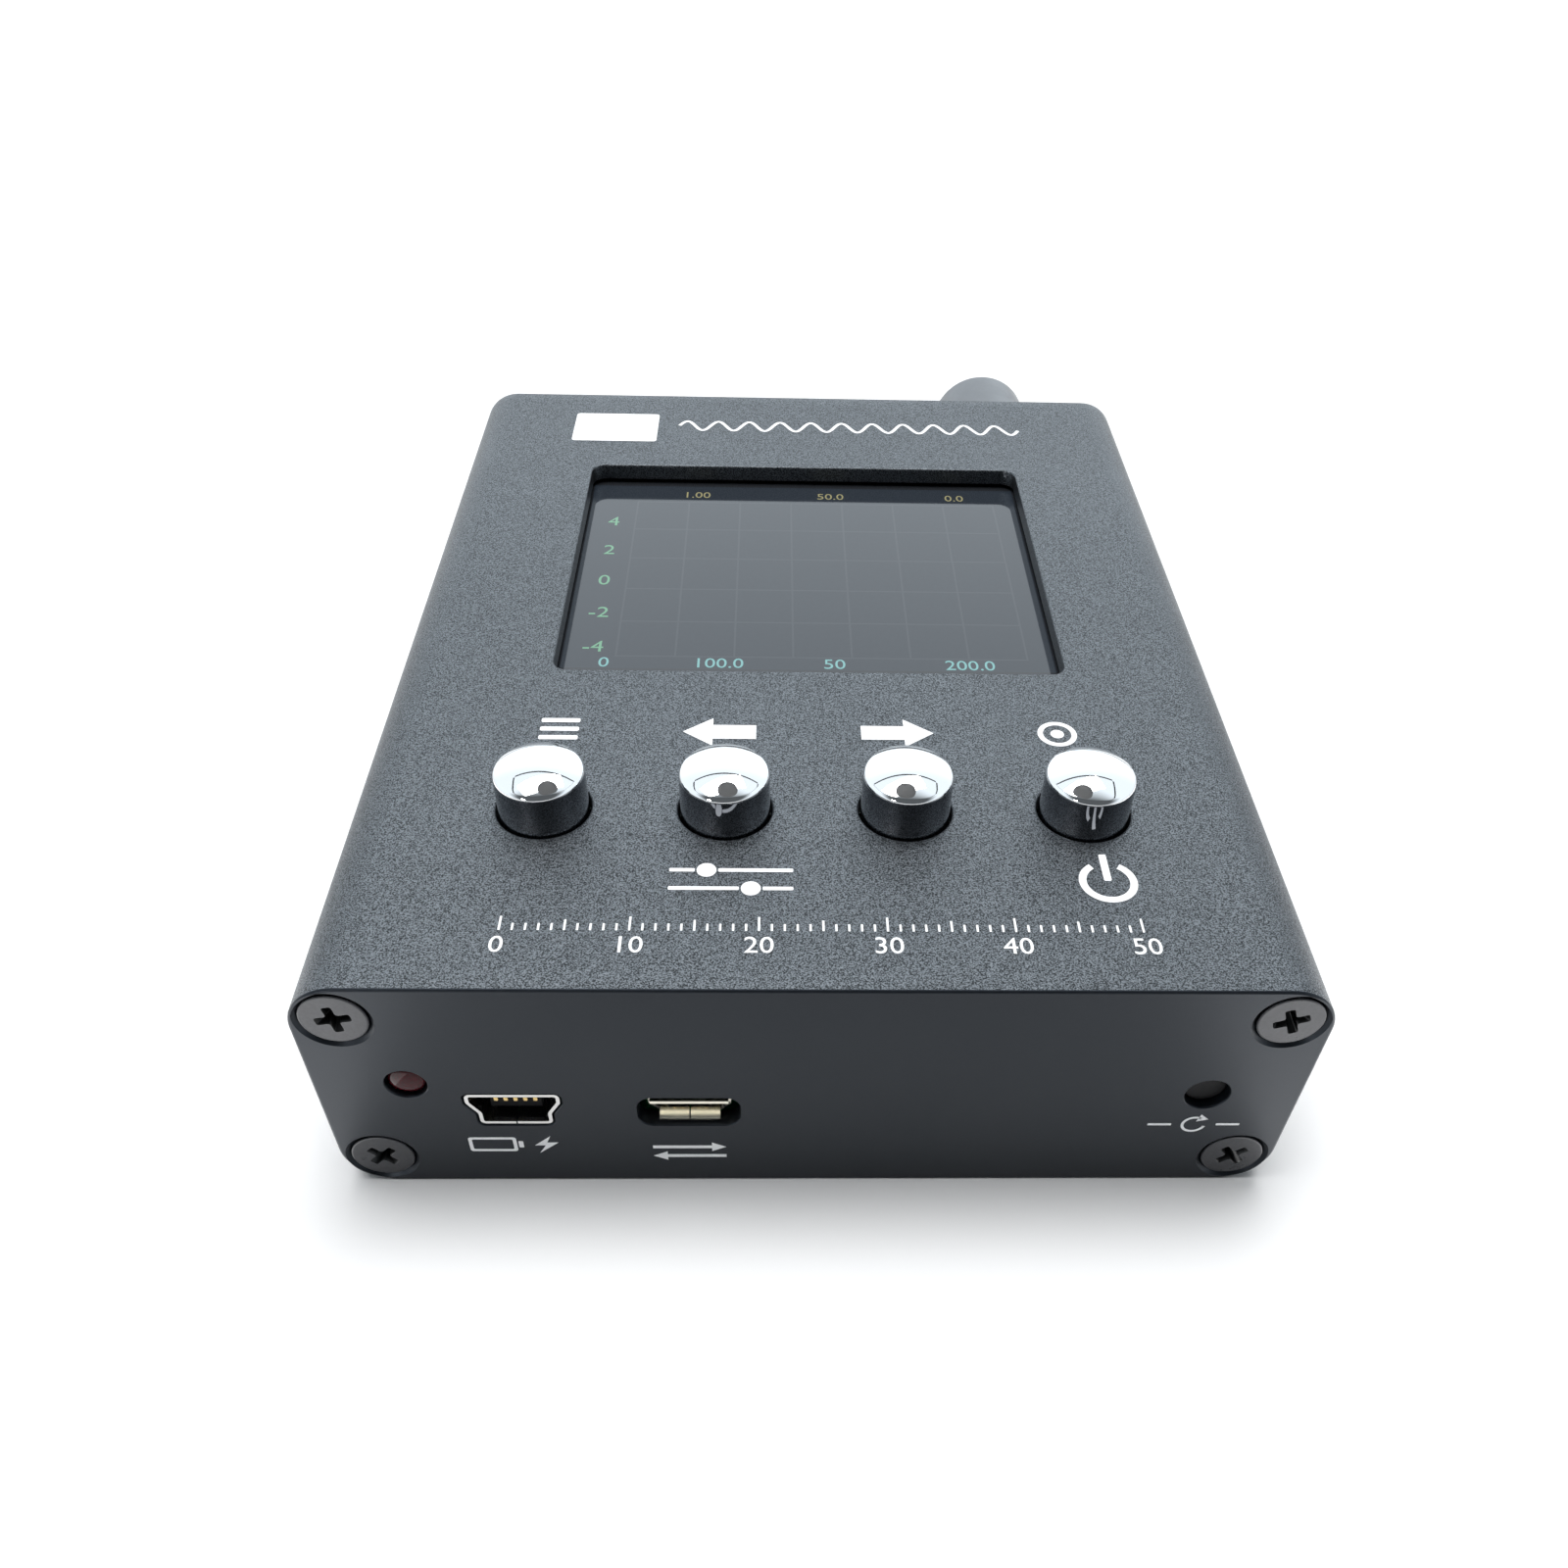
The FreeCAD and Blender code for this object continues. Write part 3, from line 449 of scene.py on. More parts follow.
def vector_number(tree, operation, *values):
    """The number that an operation on vectors gives."""
    return operation_node(tree, "ShaderNodeVectorMath", operation, values).outputs["Value"]


def map_range(tree, value, low, high, to_low=0.0, to_high=1.0, blend="LINEAR"):
    node = tree.nodes.new("ShaderNodeMapRange")
    node.interpolation_type = blend
    set_inputs(tree, node, Value=value, From_Min=low, From_Max=high, To_Min=to_low, To_Max=to_high)
    return node.outputs["Result"]


def object_place(tree):
    return tree.nodes.new("ShaderNodeTexCoord").outputs["Object"]


def axes(tree, vector):
    """The X, Y and Z of a vector."""
    return add_node(tree, "ShaderNodeSeparateXYZ", Vector=vector).outputs[:]


def noise(tree, coordinates, scale, detail=2.0, roughness=0.5):
    node = add_node(tree, "ShaderNodeTexNoise", Vector=coordinates, Scale=scale, Detail=detail,
                    Roughness=roughness)
    return node.outputs["Fac"]


def mix_colours(tree, factor, *colours):
    node = tree.nodes.new("ShaderNodeMix")
    node.data_type = "RGBA"
    tree.links.new(factor, node.inputs["Factor"])
    for socket, value in zip(node.inputs[6:8], colours):
        feed(tree, socket, value if isinstance(value, bpy.types.NodeSocket) else (*value[:3], 1.0))
    return node.outputs[2]


def new_group(name, inputs, outputs):
    """A shader group of numbers, with its inputs' defaults, and its two end nodes."""
    group = bpy.data.node_groups.new(name, "ShaderNodeTree")
    for label, value in inputs.items():
        socket = group.interface.new_socket(name=label, in_out="INPUT", socket_type="NodeSocketFloat")
        socket.default_value = value
    for label in outputs:
        group.interface.new_socket(name=label, in_out="OUTPUT", socket_type="NodeSocketFloat")
    return group, group.nodes.new("NodeGroupInput").outputs, group.nodes.new("NodeGroupOutput")


def grain_group():
    """Pits of a blasted or moulded surface, and specks that catch the light."""
    group, start, end = new_group("Surface Grain", {"Size": 0.00016, "Contrast": 1.0}, ("Height", "Specks"))
    place = object_place(group)
    per_metre = math_node(group, "DIVIDE", 1.0, start["Size"])
    fine = noise(group, place, per_metre, 1.5)
    coarse = noise(group, place, product(group, per_metre, 0.31))
    height = math_node(group, "ADD", product(group, fine, 0.7), product(group, coarse, 0.3))
    lifted = product(group, math_node(group, "SUBTRACT", fine, 0.5), start["Contrast"])
    set_inputs(group, end, Height=height, Specks=math_node(group, "ADD", lifted, 0.5, clamp=True))
    return group


def wear_group():
    """A mask of rubbed edges, broken up so that it comes and goes."""
    group, start, end = new_group(
        "Edge Wear", {"Radius": 0.0003, "Amount": 4.0, "Patch Size": 0.004}, ("Mask",))
    bevel = add_node(group, "ShaderNodeBevel", Radius=start["Radius"])
    bevel.samples = 4
    facing = group.nodes.new("ShaderNodeNewGeometry").outputs["Normal"]
    along = vector_number(group, "DOT_PRODUCT", bevel.outputs["Normal"], facing)
    bend = math_node(group, "SUBTRACT", 1.0, along)
    per_metre = math_node(group, "DIVIDE", 1.0, start["Patch Size"])
    patches = noise(group, object_place(group), per_metre, 3.0)
    broken = product(group, math_node(group, "SUBTRACT", patches, 0.32, clamp=True), 2.2)
    mask = math_node(group, "MULTIPLY", product(group, bend, start["Amount"]), broken, clamp=True)
    set_inputs(group, end, Mask=mask)
    return group


def handling_group():
    """Slow changes in gloss where hands and dust have been."""
    group, start, end = new_group(
        "Handling Marks", {"Patch Size": 0.02, "Low": 0.4, "High": 0.5}, ("Roughness",))
    per_metre = math_node(group, "DIVIDE", 1.0, start["Patch Size"])
    patches = noise(group, object_place(group), per_metre, 4.0, 0.6)
    set_inputs(group, end, Roughness=map_range(group, patches, 0.3, 0.7, start["Low"], start["High"]))
    return group


GROUP_MAKERS = {"Surface Grain": grain_group, "Edge Wear": wear_group, "Handling Marks": handling_group}


def use_group(tree, name, **values):
    node = tree.nodes.new("ShaderNodeGroup")
    node.node_tree = bpy.data.node_groups.get(name) or GROUP_MAKERS[name]()
    set_inputs(tree, node, **values)
    return node


def scaled(colour, factor):
    return tuple(min(1.0, channel * factor) for channel in colour[:3])


def surface(name, colour, metallic=0.0, rough=(0.4, 0.5), grain=0.0003, contrast=1.0, speck=0.25,
            bump=0.1, bump_depth=0.00002, wear=None, wear_amount=3.0, wear_radius=0.0003, patch=0.02,
            coat=0.0, coat_roughness=0.1, ior=1.5, tint=(1.0, 1.0, 1.0)):
    """A Principled surface with grain, worn edges and slow changes in gloss."""
    material = bpy.data.materials.get(name)
    if material:
        return material
    material = bpy.data.materials.new(name)
    material.use_nodes = True
    tree = material.node_tree
    grains = use_group(tree, "Surface Grain", Size=grain, Contrast=contrast)
    base = mix_colours(tree, grains.outputs["Specks"], scaled(colour, 1 - speck), scaled(colour, 1 + speck))
    if wear:
        rubbed = use_group(tree, "Edge Wear", Radius=wear_radius, Amount=wear_amount)
        base = mix_colours(tree, rubbed.outputs["Mask"], base, wear)
    gloss = use_group(tree, "Handling Marks", Patch_Size=patch, Low=rough[0], High=rough[1])
    relief = add_node(tree, "ShaderNodeBump", Strength=bump, Distance=bump_depth,
                      Height=grains.outputs["Height"])
    set_inputs(tree, tree.nodes["Principled BSDF"], Base_Color=base, Metallic=metallic,
               Roughness=gloss.outputs["Roughness"], IOR=ior, Normal=relief.outputs["Normal"],
               Specular_Tint=(*tint, 1.0), Coat_Weight=coat, Coat_Roughness=coat_roughness)
    return material


def mix_over(material, mask, colour, over=True):
    """Covers the material's own colour with a plain one where the mask is one, or where it is zero."""
    tree = material.node_tree
    base = tree.nodes["Principled BSDF"].inputs["Base Color"]
    own = base.links[0].from_socket
    pair = (own, colour) if over else (colour, own)
    tree.links.new(mix_colours(tree, mask, *pair), base)


# Finishes

FINISHES = {
    "Black oxide": dict(
        colour=(0.042, 0.043, 0.048), metallic=0.3, rough=(0.26, 0.38), grain=0.00025, speck=0.3, bump=0.15,
        wear=(0.30, 0.31, 0.33), wear_amount=2.2, wear_radius=0.00015, patch=0.003),
    "Soft cap": dict(
        colour=(0.075, 0.083, 0.094), rough=(0.26, 0.40), grain=0.0004, speck=0.10, bump=0.10,
        bump_depth=0.00003, wear=(0.16, 0.17, 0.18), wear_amount=1.2, patch=0.006, coat=0.25,
        coat_roughness=0.3),
    "Nickel plating": dict(
        colour=(0.72, 0.71, 0.69), metallic=1.0, rough=(0.10, 0.22), grain=0.0002, speck=0.06, bump=0.06,
        wear=(0.85, 0.84, 0.82), wear_amount=1.0, patch=0.003),
    "Warm plating": dict(
        colour=(0.96, 0.90, 0.76), metallic=1.0, rough=(0.16, 0.28), grain=0.0002, speck=0.08, bump=0.06,
        patch=0.003),
    "Gold flash": dict(
        colour=(0.83, 0.60, 0.25), metallic=1.0, rough=(0.16, 0.28), grain=0.0002, speck=0.06, bump=0.06,
        patch=0.002),
    "Stamped steel": dict(
        colour=(0.55, 0.56, 0.57), metallic=1.0, rough=(0.22, 0.36), speck=0.08, bump=0.08, patch=0.004),
    "Black moulding": dict(
        colour=(0.018, 0.019, 0.020), rough=(0.42, 0.56), grain=0.0002, speck=0.2, bump=0.15,
        wear=(0.06, 0.06, 0.065), wear_amount=1.5, wear_radius=0.0001, patch=0.003),
    "White moulding": dict(
        colour=(0.76, 0.75, 0.71), rough=(0.40, 0.52), speck=0.04, bump=0.08, patch=0.004),
    "Socket insert": dict(
        colour=(0.006, 0.006, 0.007), rough=(0.40, 0.52), grain=0.0002, speck=0.2, bump=0.08, patch=0.002,
        ior=1.2),
    "Red lens": dict(
        colour=(0.052, 0.002, 0.005), rough=(0.03, 0.06), grain=0.0005, speck=0.4, bump=0.01, patch=0.001,
        ior=1.28),
    "Black rubber": dict(
        colour=(0.006, 0.006, 0.007), rough=(0.55, 0.7), grain=0.0002, speck=0.3, bump=0.15, patch=0.003,
        ior=1.3),
    "Solder mask": dict(
        colour=(0.012, 0.11, 0.045), rough=(0.22, 0.34), grain=0.0004, speck=0.12, bump=0.08, patch=0.006,
        coat=0.3),
    "Closed-cell foam": dict(
        colour=(0.05, 0.05, 0.053), rough=(0.8, 0.9), grain=0.0004, speck=0.35, bump=0.6,
        bump_depth=0.0001),
    "Amber film": dict(colour=(0.42, 0.17, 0.03), rough=(0.2, 0.3), grain=0.0005, speck=0.08, coat=0.4),
    "Pouch film": dict(
        colour=(0.52, 0.53, 0.55), metallic=0.8, rough=(0.26, 0.4), grain=0.0012, speck=0.06, bump=0.3,
        bump_depth=0.0001, patch=0.01),
    "Lead insulation": dict(
        colour=(0.30, 0.02, 0.02), rough=(0.36, 0.46), grain=0.0004, speck=0.08, bump=0.06),
    "White insulator": dict(colour=(0.80, 0.80, 0.77), rough=(0.36, 0.46), speck=0.03, bump=0.05),
    "Lit display": dict(
        colour=(0.020, 0.022, 0.026), rough=(0.05, 0.10), grain=0.0006, speck=0.15, bump=0.01, patch=0.012,
        coat=0.3, coat_roughness=0.03, ior=1.45),
}


def plain_finish(name):
    return surface(name, **FINISHES[name])


def case_finish():
    """Blasted anodising, whose relief grows coarser towards the front."""
    name = "Blasted anodising"
    if name in bpy.data.materials:
        return bpy.data.materials[name]
    settings = bpy.context.scene.analyzer_case
    material = surface(name, settings.colour, metallic=0.9, rough=(0.36, 0.44),
                       grain=settings.grain_size * MM * 0.75, contrast=4.2, speck=0.75, bump_depth=0.00012,
                       wear=(0.24, 0.26, 0.28), wear_amount=0.8, wear_radius=0.00025, patch=0.03)
    tree = material.node_tree
    coarser = map_range(tree, axes(tree, object_place(tree))[1], 0.02, -0.05, 0.35)
    set_inputs(tree, tree.nodes["Bump"], Strength=coarser)
    return material


def plate_finish():
    colour = bpy.context.scene.analyzer_case.plate_colour
    return surface("Smooth anodising", colour, rough=(0.36, 0.44), grain=0.00020, speck=0.25,
                   bump=0.25, bump_depth=0.00001, patch=0.03, ior=1.40, tint=(0.76, 0.86, 1.0))


def screw_finish():
    """Black oxide, with painted shade in the screw's recess, whose faces are coloured near black."""
    material = plain_finish("Black oxide")
    inside = material.node_tree.nodes.new("ShaderNodeAttribute")
    inside.attribute_name = "recess"
    # Painted shade: faces flagged as the recess are coloured near black, as if in shadow.
    mix_over(material, inside.outputs["Fac"], (0.002, 0.002, 0.002))
    return material


def chrome_finish():
    """Mirror plating, with painted shade on a key's upright sides, whose base colour is darkened to stand
    in for the dark surroundings they reflect.
    """
    colour = bpy.context.scene.analyzer_keys.colour
    material = surface("Mirror plating", colour, metallic=1.0, rough=(0.015, 0.05), grain=0.0009,
                       speck=0.01, bump=0.03, patch=0.004)
    tree = material.node_tree
    facing = axes(tree, tree.nodes.new("ShaderNodeTexCoord").outputs["Normal"])
    clear_of_painted_shade = map_range(tree, facing[2], 0.02, 0.30, blend="SMOOTHSTEP")
    # Painted shade: upright sides get a dark grey base colour in place of the dark reflections they catch,
    # and up-facing faces keep the plating colour.
    mix_over(material, clear_of_painted_shade, (0.20, 0.21, 0.23), over=False)
    return material


def ink_finish():
    colour = bpy.context.scene.analyzer_print.colour
    return surface("Printed ink", colour, rough=(0.50, 0.62), grain=0.00014, contrast=1.4, speck=0.05,
                   bump=0.2, bump_depth=0.00001, patch=0.005)


def board_finish():
    """Solder mask over a field of copper tracks."""
    name = "Solder mask"
    if name in bpy.data.materials:
        return bpy.data.materials[name]
    material = plain_finish(name)
    tree = material.node_tree
    tracks = add_node(tree, "ShaderNodeTexBrick", Scale=160, Mortar_Size=0.06, Vector=object_place(tree))
    mix_over(material, tracks.outputs["Fac"], (0.03, 0.20, 0.08))
    return material


# Case

def key_place(name):
    """Centre and post radius of a key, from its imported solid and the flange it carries."""
    low, high = node_box("key_cap_" + name)
    flange_overhang = 0.9
    return (low.x + high.x) / 2, (low.y + high.y) / 2, (high.x - low.x) / 2 - flange_overhang


def top_wall_loops():
    """The window and the four key holes."""
    settings = bpy.context.scene.analyzer_window
    x, y = settings.centre_x, settings.centre_y
    half_x, half_y = settings.width / 2, settings.length / 2
    window = rounded_rectangle(x - half_x, x + half_x, y - half_y, y + half_y, settings.corner_radius, 8)
    key_hole_gap = 0.22
    return [window] + [circle(x, y, radius + key_hole_gap) for x, y, radius in map(key_place, KEY_NAMES)]


def case_outlines():
    """Outer and inner section of the extrusion, both with a point at each end of the top wall's flat."""
    settings = bpy.context.scene.analyzer_case
    flat = HALF_WIDTH - settings.corner_radius - 1.0
    loops = []
    for inset, steps in ((0, 16), (settings.wall, 8)):
        x, top, radius = HALF_WIDTH - inset, CASE_TOP - inset, settings.corner_radius - inset
        corners = [(-x, inset, radius), (x, inset, radius), (x, top, radius),
                   (flat, top, 0), (-flat, top, 0), (-x, top, radius)]
        loops.append(rounded(corners, steps))
    return (*loops, flat)


def top_flat_edge(loop, flat, height):
    """Index of the outline's edge that lies on the top wall's flat."""
    for i, (u, v) in enumerate(loop):
        if abs(u - flat) < 1e-3 and abs(v - height) < 1e-3:
            return i
    raise RuntimeError("the section has no flat on its top wall")


def add_rail(shape, outline):
    """A straight rail along the inside of the case, a little short of its ends."""
    setback = 0.05
    add_slab(shape, outline, upright_place, CASE_LOW.y + setback, CASE_HIGH.y - setback, 0)


def add_screw_port(shape, x, z):
    """A C-shaped port that a plate screw runs into, open towards the middle of the case."""
    ring_radius, bore_radius, slot = 2.6, 1.5, 1.5
    turn = math.atan2(math.copysign(1, CASE_TOP / 2 - z), -math.copysign(1, x))
    outer_half = math.asin(slot / 2 / ring_radius)
    inner_half = math.asin(slot / 2 / bore_radius)
    outline = arc_points(x, z, ring_radius, turn + outer_half, turn + TURN - outer_half, 28)
    outline += arc_points(x, z, bore_radius, turn + TURN - inner_half, turn + inner_half, 20)
    add_rail(shape, outline)


def screw_places():
    x = HALF_WIDTH - SCREW_INSET
    return [(side * x, z) for z in (SCREW_INSET, CASE_TOP - SCREW_INSET) for side in (-1, 1)]


class ANALYZER_OT_case(bpy.types.Operator):
    """Build the extruded case with its window, key holes, screw ports and board guides"""
    bl_idname = "analyzer.case"
    bl_label = "Case"

    def execute(self, context):
        settings = context.scene.analyzer_case
        shape = bmesh.new()
        outer, inner, flat = case_outlines()
        front, rear = CASE_LOW.y, CASE_HIGH.y
        inner_top = CASE_TOP - settings.wall
        tubes = []
        for loop, height in ((outer, CASE_TOP), (inner, inner_top)):
            tubes.append([add_ring(shape, loop, upright_place, y) for y in (front, rear)])
            loft(shape, tubes[-1], skip=(top_flat_edge(loop, flat, height),))
        fill_ends(shape, tubes)
        border = [(-flat, front), (flat, front), (flat, rear), (-flat, rear)]
        uppers = [add_ring(shape, border, level_place, CASE_TOP)]
        lowers = [add_ring(shape, border, level_place, inner_top)]
        levels = rounding_steps(inner_top, CASE_TOP, settings.edge_rounding)
        for loop in top_wall_loops():
            rings = add_tube(shape, [(offset(loop, inset), w) for inset, w in levels], level_place)
            lowers.append(rings[0])
            uppers.append(rings[-1])
        fill_rings(shape, uppers)
        fill_rings(shape, lowers)
        for x, z in screw_places():
            add_screw_port(shape, x, z)
        self.add_guides(shape)
        finish_piece("case_tube", shape, "case", case_finish())
        return {"FINISHED"}

    def add_guides(self, shape):
        """Two pairs of rails at each side, above and below the boards' edges."""
        inner_x = HALF_WIDTH - bpy.context.scene.analyzer_case.wall
        depth, thickness, clearance, rooted = 2.0, 1.0, 0.1, 0.5
        for node in ("lower_board", "upper_board"):
            low, high = node_box(node)
            for z in (low.z - clearance - thickness, high.z + clearance):
                for side in (-1, 1):
                    ends = sorted((side * (inner_x + rooted), side * (inner_x - depth)))
                    add_rail(shape, rounded_rectangle(*ends, z, z + thickness, 0.2, 3))


# End plates

def socket_centre(kind):
    return axis_point(kind + "_socket_shell")[0]


def socket_outline(kind, grow=0.0):
    """The outside of a socket's shell, moved outwards by grow."""
    if kind == "mini":
        right = [(3.0, 0, 0.5), (3.0, 1.4, 0.5), (3.85, 2.8, 0.5), (3.85, 3.95, 0.5)]
    else:
        right = [(2.7, 0, 0.4), (3.75, 1.1, 0.4), (3.75, 2.6, 0.5)]
    left = [(-x, z, radius) for x, z, radius in reversed(right)]
    centre = socket_centre(kind)
    bottom = node_box(kind + "_socket_insert")[0].z - SOCKET_SHEET
    loop = rounded([(centre + x, bottom + z, radius) for x, z, radius in right + left], 6)
    return offset(loop, grow) if grow else loop


def round_hole(node, radius, steps=40):
    """A hole round the axis of a node that lies along Y."""
    x, _, z = axis_point(node)
    return circle(x, z, radius, steps)


def add_plate(shape, outer_y, inward, thickness, plain_holes):
    """An end plate with a rounded outer edge, plain holes and four countersunk ones."""
    rounding, steps, hole_share = 0.22, 3, 0.4
    mouth, bore, lip = 3.0, 1.6, 0.08
    near, far = outer_y, outer_y + inward * thickness
    levels = [(inset, near + inward * rise) for inset, rise in quarter_round(rounding, steps)]
    levels.append((0.0, far))
    corner_radius = bpy.context.scene.analyzer_case.corner_radius
    border = rounded_rectangle(-HALF_WIDTH, HALF_WIDTH, 0, CASE_TOP, corner_radius, 16)
    tubes = []
    for index, loop in enumerate([border, *plain_holes]):
        growth = hole_share if index else -1
        rings = [add_ring(shape, offset(loop, inset * growth), upright_place, w) for inset, w in levels]
        loft(shape, rings[:-1])
        join_rings(shape, *rings[-2:], finish=0 if index else 1)
        tubes.append(rings)
    countersink = [(mouth + lip, near), (mouth, near + inward * lip),
                   (bore, near + inward * (mouth - bore)), (bore, far)]
    for x, z in screw_places():
        sections = [(circle(x, z, radius, 48), w) for radius, w in countersink]
        tubes.append(add_tube(shape, sections, upright_place))
    fill_ends(shape, tubes)


class ANALYZER_OT_plates(bpy.types.Operator):
    """Build the two end plates with their holes"""
    bl_idname = "analyzer.plates"
    bl_label = "End plates"

    def execute(self, context):
        ink = context.scene.analyzer_print.thickness
        thickness = FRONT_HIGH.y - FRONT_LOW.y
        slot_half, slot_high, slot_round, slot_drop, socket_gap = 4.2, 3.7, 1.3, 0.45, 0.15
        lamp_hole, reset_hole, port_hole = 1.67, 1.85, 5.7
        middle = socket_centre("micro")
        slot_low = node_box("micro_socket_insert")[0].z - slot_drop
        slot = rounded_rectangle(
            middle - slot_half, middle + slot_half, slot_low, slot_low + slot_high, slot_round, 8)
        front_holes = [socket_outline("mini", socket_gap), slot,
                       round_hole("charge_lamp", lamp_hole), round_hole("reset_plunger", reset_hole)]
        plates = (
            ("front_plate", FRONT_Y + ink, 1, thickness - ink, front_holes),
            ("rear_plate", REAR_Y, -1, thickness, [round_hole("rf_port_washer", port_hole, 64)]),
        )
        for node, outer_y, inward, depth, holes in plates:
            shape = bmesh.new()
            add_plate(shape, outer_y, inward, depth, holes)
            finish_piece(node, shape, "case", plate_finish(), second=case_finish())
        return {"FINISHED"}


# Screws

def cross_outline(half_length, half_width):
    """A cross with softened inner corners and rounded arms."""
    a, b = half_width, half_length
    arm = [(b, -a, a * 0.45), (b, a, a * 0.45), (a, a, a * 0.5)]
    corners = []
    for quarter in range(4):
        for u, v, radius in arm:
            for _ in range(quarter):
                u, v = -v, u
            corners.append((u, v, radius))
    return rounded(corners, 3)


def screw_master(finish):
    """A countersunk screw on the Z axis, head up at zero, with a tapered cross recess."""
    head, shank, length = 2.64, 1.4, 8.0
    profile = [(head - 0.14, 0.0), (head - 0.04, -0.04), (head, -0.14), (shank, -(head - shank) - 0.1)]
    pitch = 0.7
    turns = int((length - 2.6) / pitch)
    for i in range(turns):
        top = -1.9 - i * pitch
        profile += [(shank - 0.28, top), (shank, top - pitch / 2)]
    profile += [(shank - 0.3, -length + 0.5), (0.3, -length)]
    shape = bmesh.new()
    inside = shape.faces.layers.float.new("recess")
    rings = add_tube(shape, [(circle(0, 0, radius, 48), height) for radius, height in profile], level_place)
    shape.faces.new(rings[-1])
    levels = [(1.42, 0.40, 0.0), (1.36, 0.35, -0.07), (0.86, 0.28, -0.95), (0.42, 0.24, -1.35)]
    before = set(shape.faces)
    recess = add_tube(shape, [(cross_outline(b, a), height) for b, a, height in levels], level_place)
    fill_rings(shape, [recess[-1]])
    # Flags the recess faces, which the finish colours near black as painted shade.
    for face in set(shape.faces) - before:
        face[inside] = 1.0
    fill_rings(shape, [rings[0], recess[0]])
    bmesh.ops.recalc_face_normals(shape, faces=shape.faces)
    mesh = mesh_from(shape, "screw_master")
    mesh.materials.append(finish)
    return mesh


def evaluated_mesh(piece, name):
    """A plain mesh of the object as its modifiers leave it."""
    bpy.context.view_layer.update()
    graph = bpy.context.evaluated_depsgraph_get()
    mesh = bpy.data.meshes.new_from_object(piece.evaluated_get(graph))
    mesh.name = name
    return mesh


def scatter_tree(name):
    """Geometry Nodes that stand one object on each point, turned by the point's own angles."""
    tree = bpy.data.node_groups.new(name, "GeometryNodeTree")
    inputs = {"Geometry": "Geometry", "Item": "Object", "Finish": "Material", "Size": "Float"}
    for label, kind in inputs.items():
        socket = tree.interface.new_socket(name=label, in_out="INPUT", socket_type="NodeSocket" + kind)
    socket.default_value = 1.0
    tree.interface.new_socket(name="Geometry", in_out="OUTPUT", socket_type="NodeSocketGeometry")
    start, end = tree.nodes.new("NodeGroupInput").outputs, tree.nodes.new("NodeGroupOutput")
    item = add_node(tree, "GeometryNodeObjectInfo", Object=start["Item"])
    turn = add_node(tree, "GeometryNodeInputNamedAttribute", Name="turn")
    turn.data_type = "FLOAT_VECTOR"
    stand = add_node(tree, "GeometryNodeInstanceOnPoints", Points=start["Geometry"], Scale=start["Size"],
                     Instance=item.outputs["Geometry"], Rotation=turn.outputs["Attribute"])
    real = add_node(tree, "GeometryNodeRealizeInstances", Geometry=stand.outputs["Instances"])
    finish = add_node(tree, "GeometryNodeSetMaterial", Geometry=real.outputs["Geometry"],
                      Material=start["Finish"])
    set_inputs(tree, end, Geometry=finish.outputs["Geometry"])
    return tree


def input_key(tree, label):
    """The identifier of a tree's input, which a modifier's value is set by."""
    for socket in tree.interface.items_tree:
        if socket.item_type == "SOCKET" and socket.in_out == "INPUT" and socket.name == label:
            return socket.identifier
    raise RuntimeError("the tree has no input named " + label)


def scattered(name, item_mesh, places, finish, turns=()):
    """Plain mesh of an item stood at each place (millimetres) with Euler turns, made by Geometry Nodes."""
    tree = bpy.data.node_groups.get("Stand On Points") or scatter_tree("Stand On Points")
    item = bpy.data.objects.new(name + "_item", item_mesh)
    bpy.context.scene.collection.objects.link(item)
    points = bpy.data.meshes.new(name + "_points")
    points.from_pydata([Vector(place) * MM for place in places], [], [])
    attribute = points.attributes.new("turn", "FLOAT_VECTOR", "POINT")
    for i, turn in enumerate(turns):
        attribute.data[i].vector = turn
    holder = bpy.data.objects.new(name + "_holder", points)
    bpy.context.scene.collection.objects.link(holder)
    nodes = holder.modifiers.new("Stand", "NODES")
    nodes.node_group = tree
    nodes[input_key(tree, "Item")] = item
    nodes[input_key(tree, "Finish")] = finish
    made = evaluated_mesh(holder, name)
    for spare in (holder, item):
        bpy.data.objects.remove(spare)
    if not made.vertices:
        raise RuntimeError(name + " came out empty")
    return made


class ANALYZER_OT_screws(bpy.types.Operator):
    """Stand a cross-recessed screw in each countersunk hole"""
    bl_idname = "analyzer.screws"
    bl_label = "Plate screws"

    def execute(self, context):
        finish = screw_finish()
        master = screw_master(finish)
        head_depth = 0.10
        ends = (("front", FRONT_Y, 1, (45, 40, 10, 20)), ("rear", REAR_Y, -1, (15, 70, 33, 52)))
        for end, outer_y, inward, angles in ends:
            places = [(x, outer_y + inward * head_depth, z) for x, z in screw_places()]
            lean = Matrix.Rotation(math.radians(inward * 90), 3, "X")
            turns = [(lean @ Matrix.Rotation(math.radians(angle), 3, "Z")).to_euler("XYZ")
                     for angle in angles]
            node = end + "_plate_screws"
            name = node + "_finished"
            mesh = scattered(name, master, places, finish, turns)
            dress_piece(name, mesh, "case", finish, (node,), 40)
        return {"FINISHED"}


# Keys

